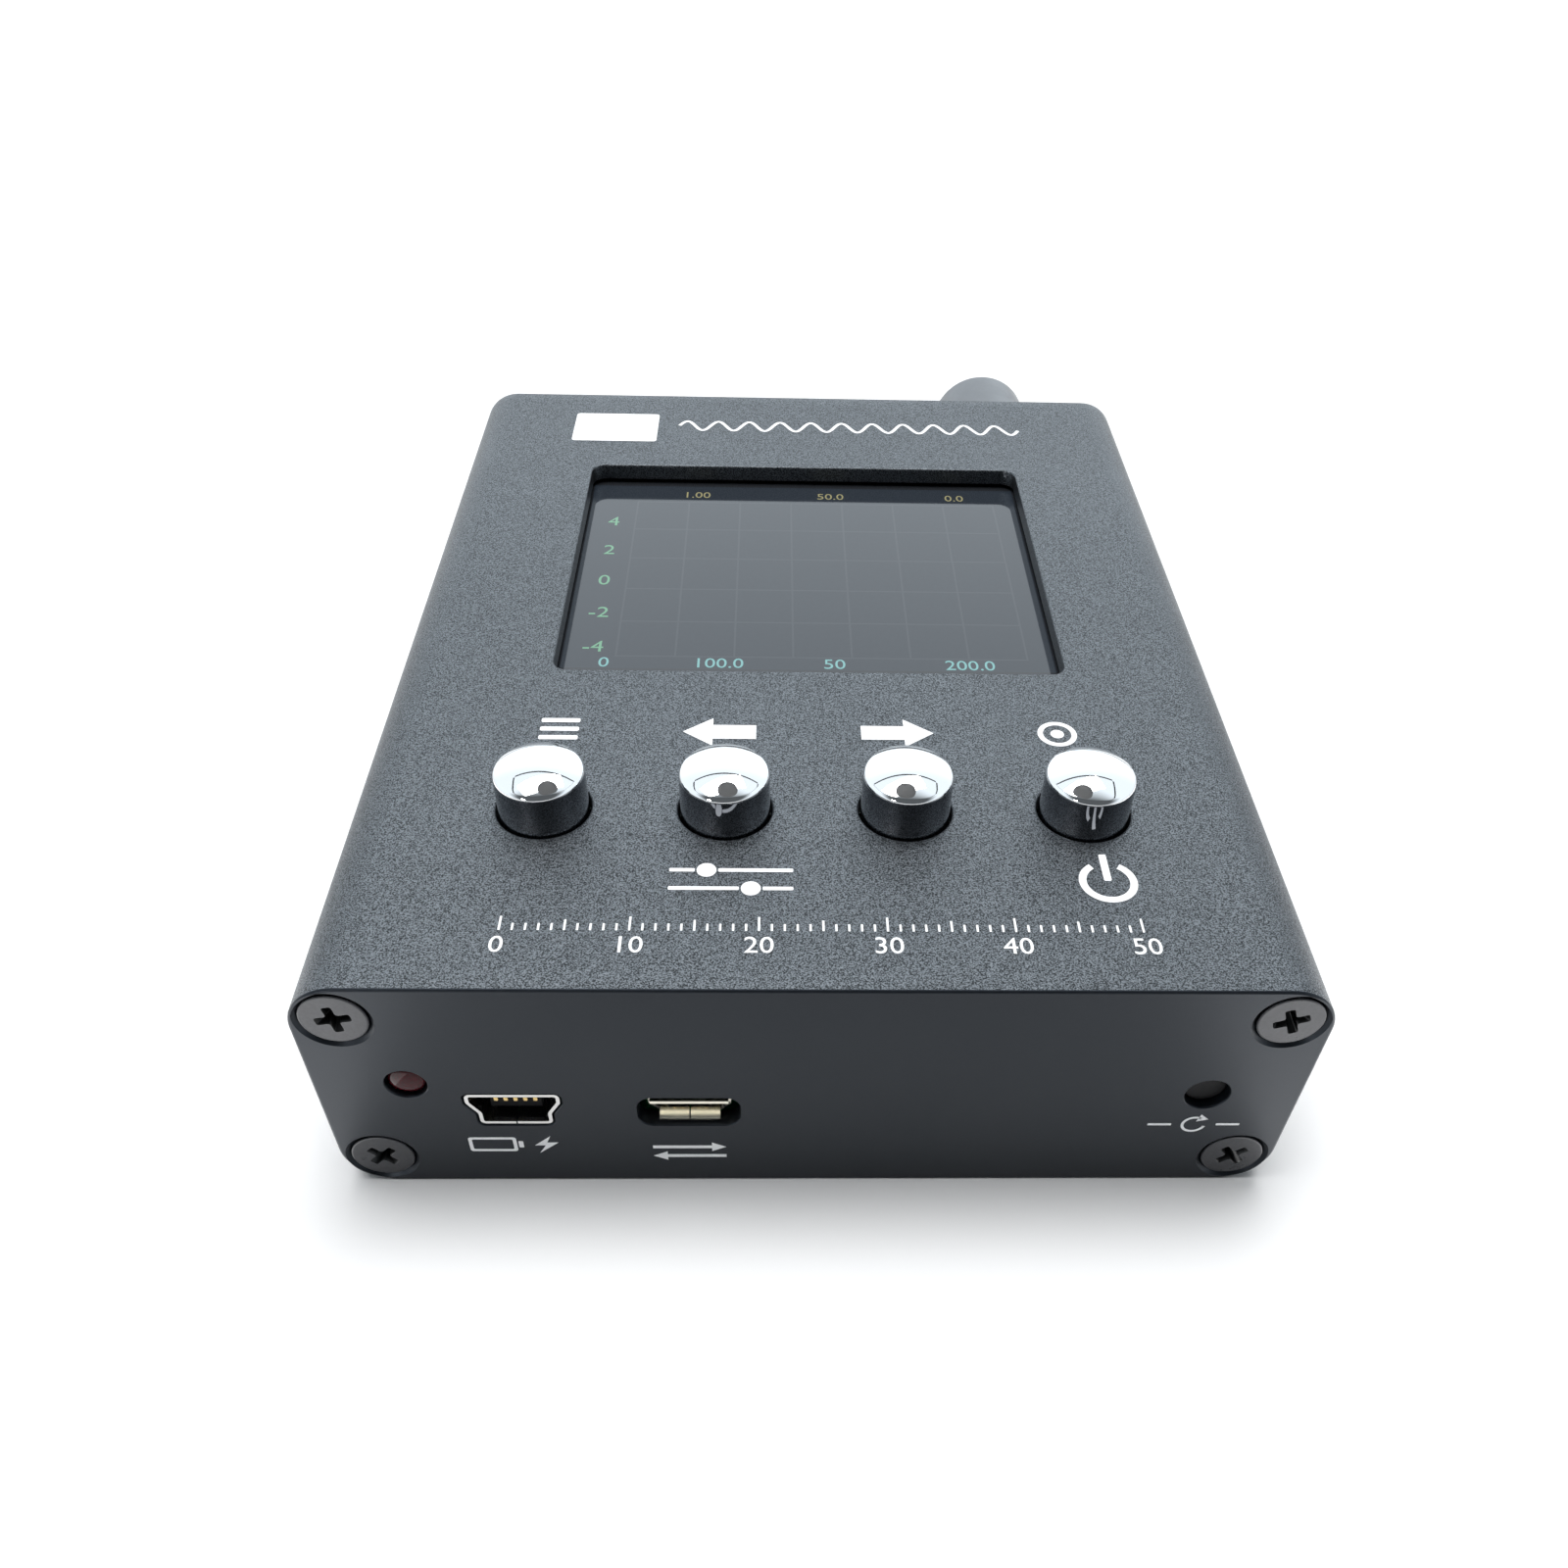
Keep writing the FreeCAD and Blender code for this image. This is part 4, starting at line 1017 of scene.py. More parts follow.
class ANALYZER_OT_keys(bpy.types.Operator):
    """Turn the four mirror-plated key caps, each with its crown and rounded rim"""
    bl_idname = "analyzer.keys"
    bl_label = "Keys"

    def execute(self, context):
        settings = context.scene.analyzer_keys
        finish = chrome_finish()
        for name in KEY_NAMES:
            node = "key_cap_" + name
            x, y, radius = key_place(name)
            low, high = node_box(node)
            profile = self.cap_profile(radius, half_across(node), low.z, high.z, settings)
            turned_piece(node, profile, (x, y, 0), UP, 96, "key_" + name, finish)
            paint_nodes(plain_finish("Black moulding"), "key_plunger_" + name)
        return {"FINISHED"}

    def cap_profile(self, radius, flange_radius, low, high, settings):
        """(radius, height) pairs from the middle of the crown, down the side and into the bore."""
        crown, rim = settings.crown, settings.rim_rounding
        ball = (radius ** 2 + crown ** 2) / (2 * crown)
        edge = radius - rim
        meeting = math.asin(edge / (ball - rim))
        profile = [(0.0, high)]
        for i in range(1, 17):
            angle = meeting * i / 16
            profile.append((ball * math.sin(angle), high - ball * (1 - math.cos(angle))))
        centre = high - ball + (ball - rim) * math.cos(meeting)
        for i in range(1, 11):
            angle = meeting + (math.pi / 2 - meeting) * i / 10
            profile.append((edge + rim * math.sin(angle), centre + rim * math.cos(angle)))
        flange, bore_radius, bore_depth = 1.0, 1.75, 3.0
        profile += [(radius, low + flange + 0.15), (radius + 0.05, low + flange),
                    (flange_radius - 0.1, low + flange), (flange_radius, low + flange - 0.1),
                    (flange_radius, low + 0.1), (flange_radius - 0.1, low),
                    (bore_radius, low), (bore_radius, low + bore_depth), (0.0, low + bore_depth)]
        return profile


# Display

GRID_LINE = 0.2


def screen_area():
    """Left, right, near and far edge of the lit picture."""
    left = GLASS_LOW.x + 3.0
    width, length = 49.0, 36.7
    middle = (GLASS_LOW.y + GLASS_HIGH.y) / 2
    return left, left + width, middle - length / 2, middle + length / 2


def grid_frame():
    """The grid's left edge, near edge and the two spacings."""
    settings = bpy.context.scene.analyzer_screen
    left, right, near, far = screen_area()
    grid_left, grid_right = left + 5.3, right - 2.6
    grid_near, grid_far = near + 2.1, far - 3.7
    return (grid_left, grid_near, (grid_right - grid_left) / settings.columns,
            (grid_far - grid_near) / settings.rows)


def line_mask(tree, value, start, pitch, count):
    """One on thin lines at start, start + pitch and so on, count of them, and zero elsewhere."""
    steps = math_node(tree, "DIVIDE", math_node(tree, "SUBTRACT", value, start * MM), pitch * MM)
    away = math_node(tree, "ABSOLUTE", math_node(tree, "SUBTRACT", steps, math_node(tree, "ROUND", steps)))
    thin = math_node(tree, "LESS_THAN", away, GRID_LINE / pitch / 2)
    after = math_node(tree, "GREATER_THAN", steps, -0.5)
    before = math_node(tree, "LESS_THAN", steps, count + 0.5)
    return product(tree, thin, product(tree, after, before))


def band_mask(tree, value, low, high):
    return product(tree, math_node(tree, "GREATER_THAN", value, low * MM),
                   math_node(tree, "LESS_THAN", value, high * MM))


def light_up(material, glow):
    tree = material.node_tree
    set_inputs(tree, tree.nodes["Principled BSDF"], Emission_Color=glow, Emission_Strength=1.0)
    return material


def display_finish():
    """A lit panel behind glossy glass: an even glow with a faint grid, and a black border."""
    settings = bpy.context.scene.analyzer_screen
    material = plain_finish("Lit display")
    tree = material.node_tree
    place = object_place(tree)
    x, y, z = axes(tree, place)
    grid_left, grid_near, column, row = grid_frame()
    grid_right, grid_far = grid_left + column * settings.columns, grid_near + row * settings.rows
    edge = GRID_LINE / 2
    across = product(tree, line_mask(tree, x, grid_left, column, settings.columns),
                     band_mask(tree, y, grid_near - edge, grid_far + edge))
    along = product(tree, line_mask(tree, y, grid_near, row, settings.rows),
                    band_mask(tree, x, grid_left - edge, grid_right + edge))
    lines = math_node(tree, "MAXIMUM", across, along)
    left, right, near, far = screen_area()
    top = math_node(tree, "GREATER_THAN", z, (GLASS_HIGH.z - 0.1) * MM)
    lit = product(tree, band_mask(tree, x, left, right), band_mask(tree, y, near, far), top)
    mottling = noise(tree, place, 55.0)
    uneven = mix_colours(tree, mottling, scaled(settings.glow, 0.94), scaled(settings.glow, 1.06))
    picture = mix_colours(tree, lines, uneven, settings.line)
    return light_up(material, mix_colours(tree, lit, (0.0, 0.0, 0.0), picture))


def glowing_ink(name, colour):
    material = surface(name, scaled(colour, 0.3), rough=(0.05, 0.10), grain=0.0004, speck=0.05, bump=0.01)
    return light_up(material, (*colour, 1.0))


def curve_mesh(curve, place):
    """The filled curve or text as a plain mesh, moved by a 4x4 in metres."""
    holder = bpy.data.objects.new("outline", curve)
    bpy.context.scene.collection.objects.link(holder)
    mesh = evaluated_mesh(holder, "outline")
    bpy.data.objects.remove(holder)
    mesh.transform(place)
    return mesh


def text_mesh(words, height, place, thickness):
    figure_share = 0.70
    curve = bpy.data.curves.new("numerals", "FONT")
    curve.body = words
    curve.size = height * MM / figure_share
    curve.extrude = thickness * MM / 2
    curve.align_x = "CENTER"
    curve.resolution_u = 4
    return curve_mesh(curve, place)


def outline_mesh(loops, place, thickness):
    """Filled outlines in millimetres; a loop inside another is a hole."""
    curve = bpy.data.curves.new("mark", "CURVE")
    curve.dimensions = "2D"
    curve.fill_mode = "BOTH"
    curve.extrude = thickness * MM / 2
    for loop in loops:
        spline = curve.splines.new("POLY")
        spline.points.add(len(loop) - 1)
        for point, (u, v) in zip(spline.points, loop):
            point.co = (u * MM, v * MM, 0, 1)
        spline.use_cyclic_u = True
    return curve_mesh(curve, place)


def joined(meshes, name):
    shape = bmesh.new()
    for mesh in meshes:
        shape.from_mesh(mesh)
        bpy.data.meshes.remove(mesh)
    return mesh_from(shape, name)


def on_top(x, y, z):
    return Matrix.Translation(Vector((x, y, z)) * MM)


def on_front(x, z, y):
    return Matrix.Translation(Vector((x, y, z)) * MM) @ Matrix.Rotation(math.radians(90), 4, "X")


class ANALYZER_OT_display(bpy.types.Operator):
    """Build the lit display with its grid, scale numbers and the parts under it"""
    bl_idname = "analyzer.display"
    bl_label = "Display"

    def execute(self, context):
        shape = bmesh.new()
        ledge = 2.0
        middle = (GLASS_LOW.z + GLASS_HIGH.z) / 2
        for inset, low, high in ((0, GLASS_LOW.z, middle - 0.02), (ledge, middle + 0.02, GLASS_HIGH.z)):
            outline = rounded_rectangle(
                GLASS_LOW.x, GLASS_HIGH.x - inset, GLASS_LOW.y, GLASS_HIGH.y, 0.3, 3)
            add_slab(shape, outline, level_place, low, high, 0.05, 2)
        finish_piece("display_glass", shape, "case", display_finish())
        self.add_numbers()
        paint_nodes(plain_finish("White moulding"), "display_tray")
        paint_nodes(plain_finish("Closed-cell foam"), "display_pad")
        paint_nodes(plain_finish("Amber film"), "display_flex")
        paint_nodes(board_finish(), "display_board")
        paint_nodes(plain_finish("Black moulding"), "display_header")
        return {"FINISHED"}

    def add_numbers(self):
        """Three sets of plain numbers: up the left side, along the foot and along the head."""
        _, grid_near, _, row = grid_frame()
        left, _, near, far = screen_area()
        film = 0.01
        sets = (
            ("screen_scale_numbers", 1.9, (0.13, 0.30, 0.19),
             [(2.9, grid_near + row * k + 0.7, words)
              for k, words in enumerate(("-4", "-2", "0", "2", "4"))]),
            ("screen_foot_numbers", 1.6, (0.16, 0.36, 0.36),
             [(u, near + 0.25, words)
              for u, words in ((4.2, "0"), (15.5, "100.0"), (27.0, "50"), (40.5, "200.0"))]),
            ("screen_head_numbers", 1.3, (0.26, 0.24, 0.13),
             [(u, far - 2.6, words) for u, words in ((12.0, "1.00"), (27.5, "50.0"), (42.0, "0.0"))]),
        )
        for name, height, colour, entries in sets:
            meshes = [text_mesh(words, height, on_top(left + u, y, GLASS_HIGH.z + film / 2), film)
                      for u, y, words in entries]
            material = glowing_ink("Picture " + name, colour)
            dress_piece(name, joined(meshes, name), "case", material, weighted=False)


# Printed marks

def arrow_outline(tip, direction, level, head=(2.7, 2.0), total=6.6, half_shaft=1.0):
    """An arrow from its tip, pointing along direction, its head given by length and half width."""
    length, half_head = head
    pairs = [(0, 0), (length, half_head), (length, half_shaft), (total, half_shaft),
             (total, -half_shaft), (length, -half_shaft), (length, -half_head)]
    return [(tip - direction * u, level + v) for u, v in pairs]


def power_outlines(x, y):
    radius, stroke = 2.08, 0.62
    gap = math.radians(32)
    start, end = math.pi / 2 + gap, math.pi / 2 + TURN - gap
    ring = arc_points(x, y, radius + stroke / 2, start, end, 40)
    ring += arc_points(x, y, radius - stroke / 2, end, start, 40)
    bar = rounded_rectangle(x - stroke / 2, x + stroke / 2, y + 0.1, y + 3.2, 0.1, 2)
    return [ring, bar]


def menu_outlines(x, y):
    """Three stacked bars."""
    levels = [y + 1.25 * k for k in range(3)]
    return [rounded_rectangle(x - 1.75, x + 1.75, level, level + 0.6, 0.15, 2) for level in levels]


def select_outlines(x, y):
    """A ring with a dot in it."""
    return [circle(x, y, 1.8, 40), circle(x, y, 1.3, 40), circle(x, y, 0.62, 24)]


def slider_outlines(x, y):
    """Two level lines, each with a round knob."""
    loops = []
    for k, knob in ((0, 1.6), (1, -2.0)):
        level = y + 2.1 * k
        loops.append(rounded_rectangle(x - 5.0, x + knob - 0.95, level - 0.2, level + 0.2, 0.1, 2))
        loops.append(rounded_rectangle(x + knob + 0.95, x + 5.0, level - 0.2, level + 0.2, 0.1, 2))
        loops.append(circle(x + knob, level, 0.8, 28))
    return loops


def wave_outline(left, right, y, amplitude, periods, stroke):
    """A sine line drawn as a closed band of even thickness."""
    steps = periods * 24
    upper, lower = [], []
    for i in range(steps + 1):
        u = left + (right - left) * i / steps
        phase = TURN * periods * i / steps
        v = y + amplitude * math.sin(phase)
        slope = amplitude * math.cos(phase) * TURN * periods / (right - left)
        length = math.sqrt(1 + slope ** 2)
        across = (-slope / length * stroke / 2, stroke / length / 2)
        upper.append((u + across[0], v + across[1]))
        lower.append((u - across[0], v - across[1]))
    return upper + lower[::-1]


def battery_outlines(x, z):
    """A cell with its nub, and a charge flash beside it."""
    flash = [(x + 4.6, z + 1.15), (x + 3.2, z - 0.15), (x + 4.1, z - 0.15), (x + 3.5, z - 1.25),
             (x + 5.2, z + 0.25), (x + 4.25, z + 0.25)]
    return [rounded_rectangle(x - 2.3, x + 1.7, z - 1.0, z + 1.0, 0.25, 3),
            rounded_rectangle(x - 2.0, x + 1.4, z - 0.7, z + 0.7, 0.12, 3),
            rounded_rectangle(x + 1.85, x + 2.25, z - 0.45, z + 0.45, 0.08, 2), flash]


def exchange_outlines(x, z):
    """Two thin arrows, one each way."""
    return [arrow_outline(x + side * 3.1, side, z + 0.65 - 1.3 * k, (1.2, 0.62), 6.2, 0.2)
            for k, side in enumerate((1, -1))]


def restart_outlines(x, z):
    """An open ring with an arrowhead at its end."""
    radius, stroke = 0.95, 0.24
    start, end = math.radians(60), math.radians(345)
    ring = arc_points(x, z, radius + stroke / 2, start, end, 30)
    ring += arc_points(x, z, radius - stroke / 2, end, start, 30)
    top = (x + radius * math.cos(start), z + radius * math.sin(start))
    head = [(top[0] - 0.1, top[1] + 0.55), (top[0] + 0.62, top[1] - 0.12), (top[0] - 0.35, top[1] - 0.42)]
    bars = [rounded_rectangle(x + u, x + u + 2.0, z - 0.14, z + 0.14, 0.05, 2) for u in (-3.9, 1.9)]
    return [ring] + bars, [head]


def tick_meshes(left, count, y, z, thickness):
    """A measuring scale's ticks, one a millimetre, stood in a row by Geometry Nodes."""
    shape = bmesh.new()
    add_slab(shape, rounded_rectangle(-0.09, 0.09, 0, 1, 0.03, 1), level_place, 0, thickness, 0)
    bar = mesh_from(shape, "tick")
    meshes = []
    for every, skip, height in ((10, 0, 1.5), (5, 10, 1.15), (1, 5, 0.75)):
        places = [(left + i, y, z) for i in range(count + 1) if i % every == 0 and (not skip or i % skip)]
        scaled_bar = bar.copy()
        scaled_bar.transform(Matrix.Diagonal((1, height, 1, 1)))
        meshes.append(scattered("scale_ticks_%d" % every, scaled_bar, places, ink_finish()))
    return meshes


class ANALYZER_OT_marks(bpy.types.Operator):
    """Print the plain symbols, the measuring scale and the blank label"""
    bl_idname = "analyzer.marks"
    bl_label = "Printed marks"

    def execute(self, context):
        ink = context.scene.analyzer_print.thickness
        finish = ink_finish()
        z = CASE_TOP + ink / 2
        flat = on_top(0, 0, z)
        top_loops = [
            menu_outlines(-22.7, -27.7),
            [arrow_outline(-11.6, -1, -26.4)], [arrow_outline(11.1, 1, -26.35)],
            select_outlines(22.4, -26.3), slider_outlines(-6.8, -46.6), power_outlines(23.7, -45.6),
            [wave_outline(-15.0, 26.5, 34.2, 1.15, 11, 0.42)],
            [rounded_rectangle(-27.7, -17.6, 29.9, 37.1, 0.4, 4)],
        ]
        meshes = [outline_mesh(loops, flat, ink) for loops in top_loops]
        scale_left, scale_y = -24.5, -51.3
        meshes += tick_meshes(scale_left, 50, scale_y, CASE_TOP, ink)
        for number in range(0, 51, 10):
            meshes.append(text_mesh(str(number), 1.7, on_top(scale_left + number, -53.6, z), ink))
        dress_piece("printed_marks_top", joined(meshes, "printed_marks_top"), "case",
                    finish, weighted=False)
        face = on_front(0, 0, FRONT_Y + ink / 2)
        front_loops = [battery_outlines(-26.6, 5.35), exchange_outlines(-10.4, 4.3),
                       *restart_outlines(32.0, 8.2)]
        meshes = [outline_mesh(loops, face, ink) for loops in front_loops]
        dress_piece("printed_marks_front", joined(meshes, "printed_marks_front"), "case",
                    finish, weighted=False)
        return {"FINISHED"}


# Sockets

def sleeve_loop(kind, grow):
    """A shell's section: the folded sheet, whose ends meet in a seam underneath."""
    outline = socket_outline(kind, grow)
    inner = offset(outline, -SOCKET_SHEET)
    centre, seam = socket_centre(kind), 0.06
    bottom = min(v for _, v in outline)
    outside = [(centre + seam, bottom)] + outline + [(centre - seam, bottom)]
    inside = [(centre + seam, bottom + SOCKET_SHEET)] + inner + [(centre - seam, bottom + SOCKET_SHEET)]
    return outside + inside[::-1]


def add_shell(shape, kind, y0, y1):
    """A folded metal shell with a closed back; its mouth may flare into a lip above and one below."""
    flare = {"mini": 0.0, "micro": -0.34}[kind]
    places = [(-0.02, y0), (0.0, y0 + 0.03), (flare * 0.55, y0 + 0.45), (flare * 0.9, y0 + 0.85),
              (flare, y0 + 1.15), (flare, y1 - SOCKET_SHEET - 0.01)]
    rings = [add_ring(shape, sleeve_loop(kind, grow), upright_place, y) for grow, y in places]
    mouth, last, half = 3, len(rings[0]) - 1, len(rings[0]) // 2
    centre, loop = socket_centre(kind), sleeve_loop(kind, 0.0)
    gaps = {i for i in range(half - 1) if flare and abs((loop[i][0] + loop[i + 1][0]) / 2 - centre) > 2.0}
    cut = gaps | {last - 1 - i for i in gaps}
    loft(shape, rings[:mouth + 1], cut)
    loft(shape, rings[mouth:])
    for i in range(half - 1):
        edge = rings[mouth] if i in gaps else rings[0]
        for ring in (edge, rings[-1]):
            shape.faces.new((ring[i], ring[i + 1], ring[last - 1 - i], ring[last - i]))
        if (i in gaps) != (i + 1 in gaps) and i + 1 < half - 1:
            for k in range(mouth):
                near, far, m = rings[k], rings[k + 1], i + 1
                shape.faces.new((near[m], far[m], far[last - m], near[last - m]))
    add_slab(shape, socket_outline(kind, flare - 0.02), upright_place, y1 - SOCKET_SHEET, y1, 0.08, 2)


def add_tabs(shape, kind, half):
    """Solder tabs at each side of a shell, standing on the board."""
    centre = socket_centre(kind)
    board = node_box("lower_board")[1].z
    reach, near, far = 1.2, FRONT_HIGH.y + 1.6, FRONT_HIGH.y + 3.2
    for side in (-1, 1):
        ends = sorted((centre + side * (half - SOCKET_SHEET), centre + side * (half + reach)))
        outline = rounded_rectangle(*ends, board, board + SOCKET_SHEET, 0.08, 2)
        add_slab(shape, outline, upright_place, near, far, 0.05, 1)


def add_contacts(shape, node):
    """Five contact strips on the tongue, each a rounded bar with its end turned down over the front."""
    low, high = node_box(node)
    count, share = 5, 0.52
    width = (high.x - low.x) / count * share
    pitch = (high.x - low.x - width) / (count - 1)
    front, drop = low.y - 0.4, 0.32
    for i in range(count):
        left = low.x + pitch * i
        outline = rounded_rectangle(left, left + width, front, high.y, 0.1, 2)
        add_slab(shape, outline, level_place, low.z, high.z, 0.04, 2)
        outline = rounded_rectangle(left, left + width, low.z - drop, high.z - 0.03, 0.1, 2)
        add_slab(shape, outline, upright_place, front - 0.08, front + 0.02, 0.03, 2)


class ANALYZER_OT_sockets(bpy.types.Operator):
    """Build the two socket shells with their inserts and contacts"""
    bl_idname = "analyzer.sockets"
    bl_label = "Sockets"

    def execute(self, context):
        kinds = (("mini", 3.85, "Nickel plating", "nickel_shell"),
                 ("micro", 3.75, "Warm plating", "pale_gold_shell"))
        for kind, half, finish, slot_name in kinds:
            node, contacts = kind + "_socket_shell", kind + "_socket_contacts"
            low, high = node_box(node)
            shape = bmesh.new()
            add_shell(shape, kind, low.y, high.y)
            add_tabs(shape, kind, half)
            finish_piece(node, shape, "case", plain_finish(finish))
            shape = bmesh.new()
            add_contacts(shape, contacts)
            finish_piece(contacts, shape, "case", plain_finish("Gold flash"))
            paint_nodes(plain_finish("Socket insert"), kind + "_socket_insert")
        return {"FINISHED"}


# Charge lamp and reset button

class ANALYZER_OT_lamp(bpy.types.Operator):
    """Turn the red charge lamp's lens and give its leads their finish"""
    bl_idname = "analyzer.lamp"
    bl_label = "Charge lamp"

    def execute(self, context):
        node = "charge_lamp"
        low, high = node_box(node)
        radius, flange_radius, dome = 1.5, half_across(node), 0.45
        profile = [(0.0, low.y)]
        for i in range(1, 11):
            angle = math.pi / 2 * i / 10
            profile.append((radius * math.sin(angle), low.y + dome * (1 - math.cos(angle))))
        profile += [(radius, high.y - 1.1), (flange_radius - 0.1, high.y - 1.0),
                    (flange_radius, high.y - 0.9), (flange_radius, high.y), (0.0, high.y)]
        turned_piece(node, profile, axis_point(node), AWAY, 48, "case",
                     plain_finish("Red lens"))
        paint_nodes(plain_finish("Stamped steel"), "charge_lamp_leads")
        return {"FINISHED"}


class ANALYZER_OT_reset(bpy.types.Operator):
    """Turn the recessed reset button and give its switch a finish"""
    bl_idname = "analyzer.reset"
    bl_label = "Reset button"

    def execute(self, context):
        node = "reset_plunger"
        low, high = node_box(node)
        collar = half_across(node)
        radius = collar - 0.2
        profile = [(0.0, low.y + 0.12), (radius * 0.7, low.y + 0.05), (radius, low.y),
                   (radius, high.y - 0.5), (collar, high.y - 0.5), (collar, high.y), (0.0, high.y)]
        turned_piece(node, softened(profile, 0.2), axis_point(node), AWAY, 40, "reset_button",
                     plain_finish("Black rubber"))
        paint_nodes(plain_finish("Black moulding"), "reset_switch_housing")
        paint_nodes(plain_finish("Stamped steel"), "reset_switch_cover")
        return {"FINISHED"}


# Coaxial port

class ANALYZER_OT_port(bpy.types.Operator):
    """Build the threaded barrel, its nut, washer and insulator, and the cap over them"""
    bl_idname = "analyzer.port"
    bl_label = "Coaxial port"

    def execute(self, context):
        self.centre = axis_point("rf_port_cap")
        self.build_barrel()
        self.build_nut()
        self.build_washer()
        self.build_cap()
        paint_nodes(plain_finish("White insulator"), "rf_port_insulator")
        paint_nodes(plain_finish("Gold flash"), "rf_port_contact")
        return {"FINISHED"}

    def build_barrel(self):
        """The barrel with its thread cut as even ridges, a shoulder and the block with four legs."""
        low, high = node_box("rf_port_body")
        bore, shelf, pin_bore, block, flange = 4.05, high.y - 9.5, 2.05, 4.5, 6.5
        flange_front = CASE_HIGH.y - 2.2
        block_front = flange_front - 2.2
        profile = [(pin_bore, block_front), (block, block_front), (block, flange_front),
                   (flange - 0.1, flange_front), (flange, flange_front + 0.1), (flange, CASE_HIGH.y),
                   (THREAD_RADIUS - 0.3, CASE_HIGH.y)]
        start, pitch, root = REAR_Y + 0.2, 0.9, THREAD_RADIUS - 0.32
        for i in range(int((high.y - 0.8 - start) / pitch)):
            y = start + pitch * i
            profile += [(root, y), (THREAD_RADIUS, y + pitch * 0.35), (THREAD_RADIUS, y + pitch * 0.6)]
        profile += [(root, high.y - 0.6), (root, high.y - 0.1), (root - 0.1, high.y), (bore + 0.3, high.y),
                    (bore, high.y - 0.3), (bore, shelf), (pin_bore, shelf)]
        shape = bmesh.new()
        add_lathe(shape, profile, self.centre, AWAY, 72)
        x, _, z = self.centre
        square = rounded_rectangle(x - block, x + block, z - block, z + block, 0.3, 3)
        add_slab(shape, square, upright_place, block_front, flange_front - 0.02, 0.1, 2,
                 holes=[circle(x, z, pin_bore + 0.01, 32)])
        board_low, board_high = node_box("upper_board")
        for side in (-1, 1):
            left = x + side * 3.2 - 0.6
            for z0 in (board_high.z, board_low.z - 1.2):
                leg = rounded_rectangle(left, left + 1.2, z0 + 0.005, z0 + 1.195, 0.1, 2)
                add_slab(shape, leg, upright_place, low.y, block_front - 0.02, 0.1, 2)
        finish_piece("rf_port_body", shape, "case", plain_finish("Gold flash"), 40)

    def build_nut(self):
        """A hexagon nut whose six corners are turned down at the back."""
        low, high = node_box("rf_port_nut")
        x, _, z = self.centre
        corner, steps = half_across("rf_port_nut"), 120
        flats = math.cos(math.pi / 6) * corner

        def hexagon(share):
            points = []
            for i in range(steps):
                angle = TURN * i / steps
                part = (angle + math.pi / 6) % (math.pi / 3) - math.pi / 6
                radius = min(corner, corner * share, flats / math.cos(math.pi / 6 - abs(part)))
                points.append((x + radius * math.cos(angle), z + radius * math.sin(angle)))
            return points

        bore = circle(x, z, THREAD_RADIUS + 0.07, steps)
        mouth = offset(bore, 0.15)
        outers = [(hexagon(0.985), low.y), (hexagon(1), low.y + 0.12), (hexagon(1), high.y - 0.45),
                  (hexagon(0.955), high.y - 0.15), (hexagon(0.915), high.y)]
        inners = [(mouth, low.y), (bore, low.y + 0.15), (bore, high.y - 0.15), (mouth, high.y)]
        shape = bmesh.new()
        outside, inside = [add_tube(shape, sections, upright_place) for sections in (outers, inners)]
        for end in (0, -1):
            join_rings(shape, outside[end], inside[end])
        finish_piece("rf_port_nut", shape, "case", plain_finish("Nickel plating"), 28)

    def build_washer(self):
        """A lock washer with a ring of small inner teeth."""
        low, high = node_box("rf_port_washer")
        x, _, z = self.centre
        steps, tooth_step, tooth = 120, 10, 0.55
        inner = []
        for i in range(steps):
            angle = TURN * i / steps
            radius = 5.72 + (tooth if i % tooth_step < 4 else 0.0)
            inner.append((x + radius * math.cos(angle), z + radius * math.sin(angle)))
        shape = bmesh.new()
        outer = circle(x, z, half_across("rf_port_washer"), steps)
        add_slab(shape, outer, upright_place, low.y, high.y, 0.06, 2, holes=[inner])
        finish_piece("rf_port_washer", shape, "case", plain_finish("Nickel plating"), 30)

    def build_cap(self):
        """The push-on cap, with a softly rounded end and a thin lip at its mouth."""
        low, high = node_box("rf_port_cap")
        radius, bore, end, rounding = half_across("rf_port_cap"), 5.6, 0.8, 0.7
        edge = radius - rounding
        profile = [(0.0, high.y - 0.05), (radius * 0.5, high.y - 0.02), (edge, high.y)]
        for i in range(1, 9):
            angle = math.pi / 2 * i / 8
            profile.append((edge + rounding * math.sin(angle), high.y - rounding * (1 - math.cos(angle))))
        profile += [(radius, low.y + 0.15), (radius - 0.15, low.y), (bore + 0.15, low.y),
                    (bore, low.y + 0.15), (bore, high.y - end - 0.3), (bore - 0.3, high.y - end),
                    (0.0, high.y - end)]
        turned_piece("rf_port_cap", profile, self.centre, AWAY, 96, "port_cap",
                     plain_finish("Soft cap"), 40)


# Inner parts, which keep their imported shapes

class ANALYZER_OT_inner(bpy.types.Operator):
    """Give the boards, switches, battery and chips their finishes"""
    bl_idname = "analyzer.inner"
    bl_label = "Inner parts"

    def execute(self, context):
        paint_nodes(board_finish(), "lower_board", "upper_board")
        paint_nodes(plain_finish("Black moulding"), "board_header", "switch_bases", "main_chip",
                    "charger_chip")
        paint_nodes(plain_finish("Stamped steel"), "switch_covers", "rf_shield")
        paint_nodes(plain_finish("White moulding"), "battery_plug", "battery_socket")
        paint_nodes(plain_finish("Pouch film"), "battery_cell")
        paint_nodes(plain_finish("Lead insulation"), "battery_leads")
        return {"FINISHED"}


# Stage

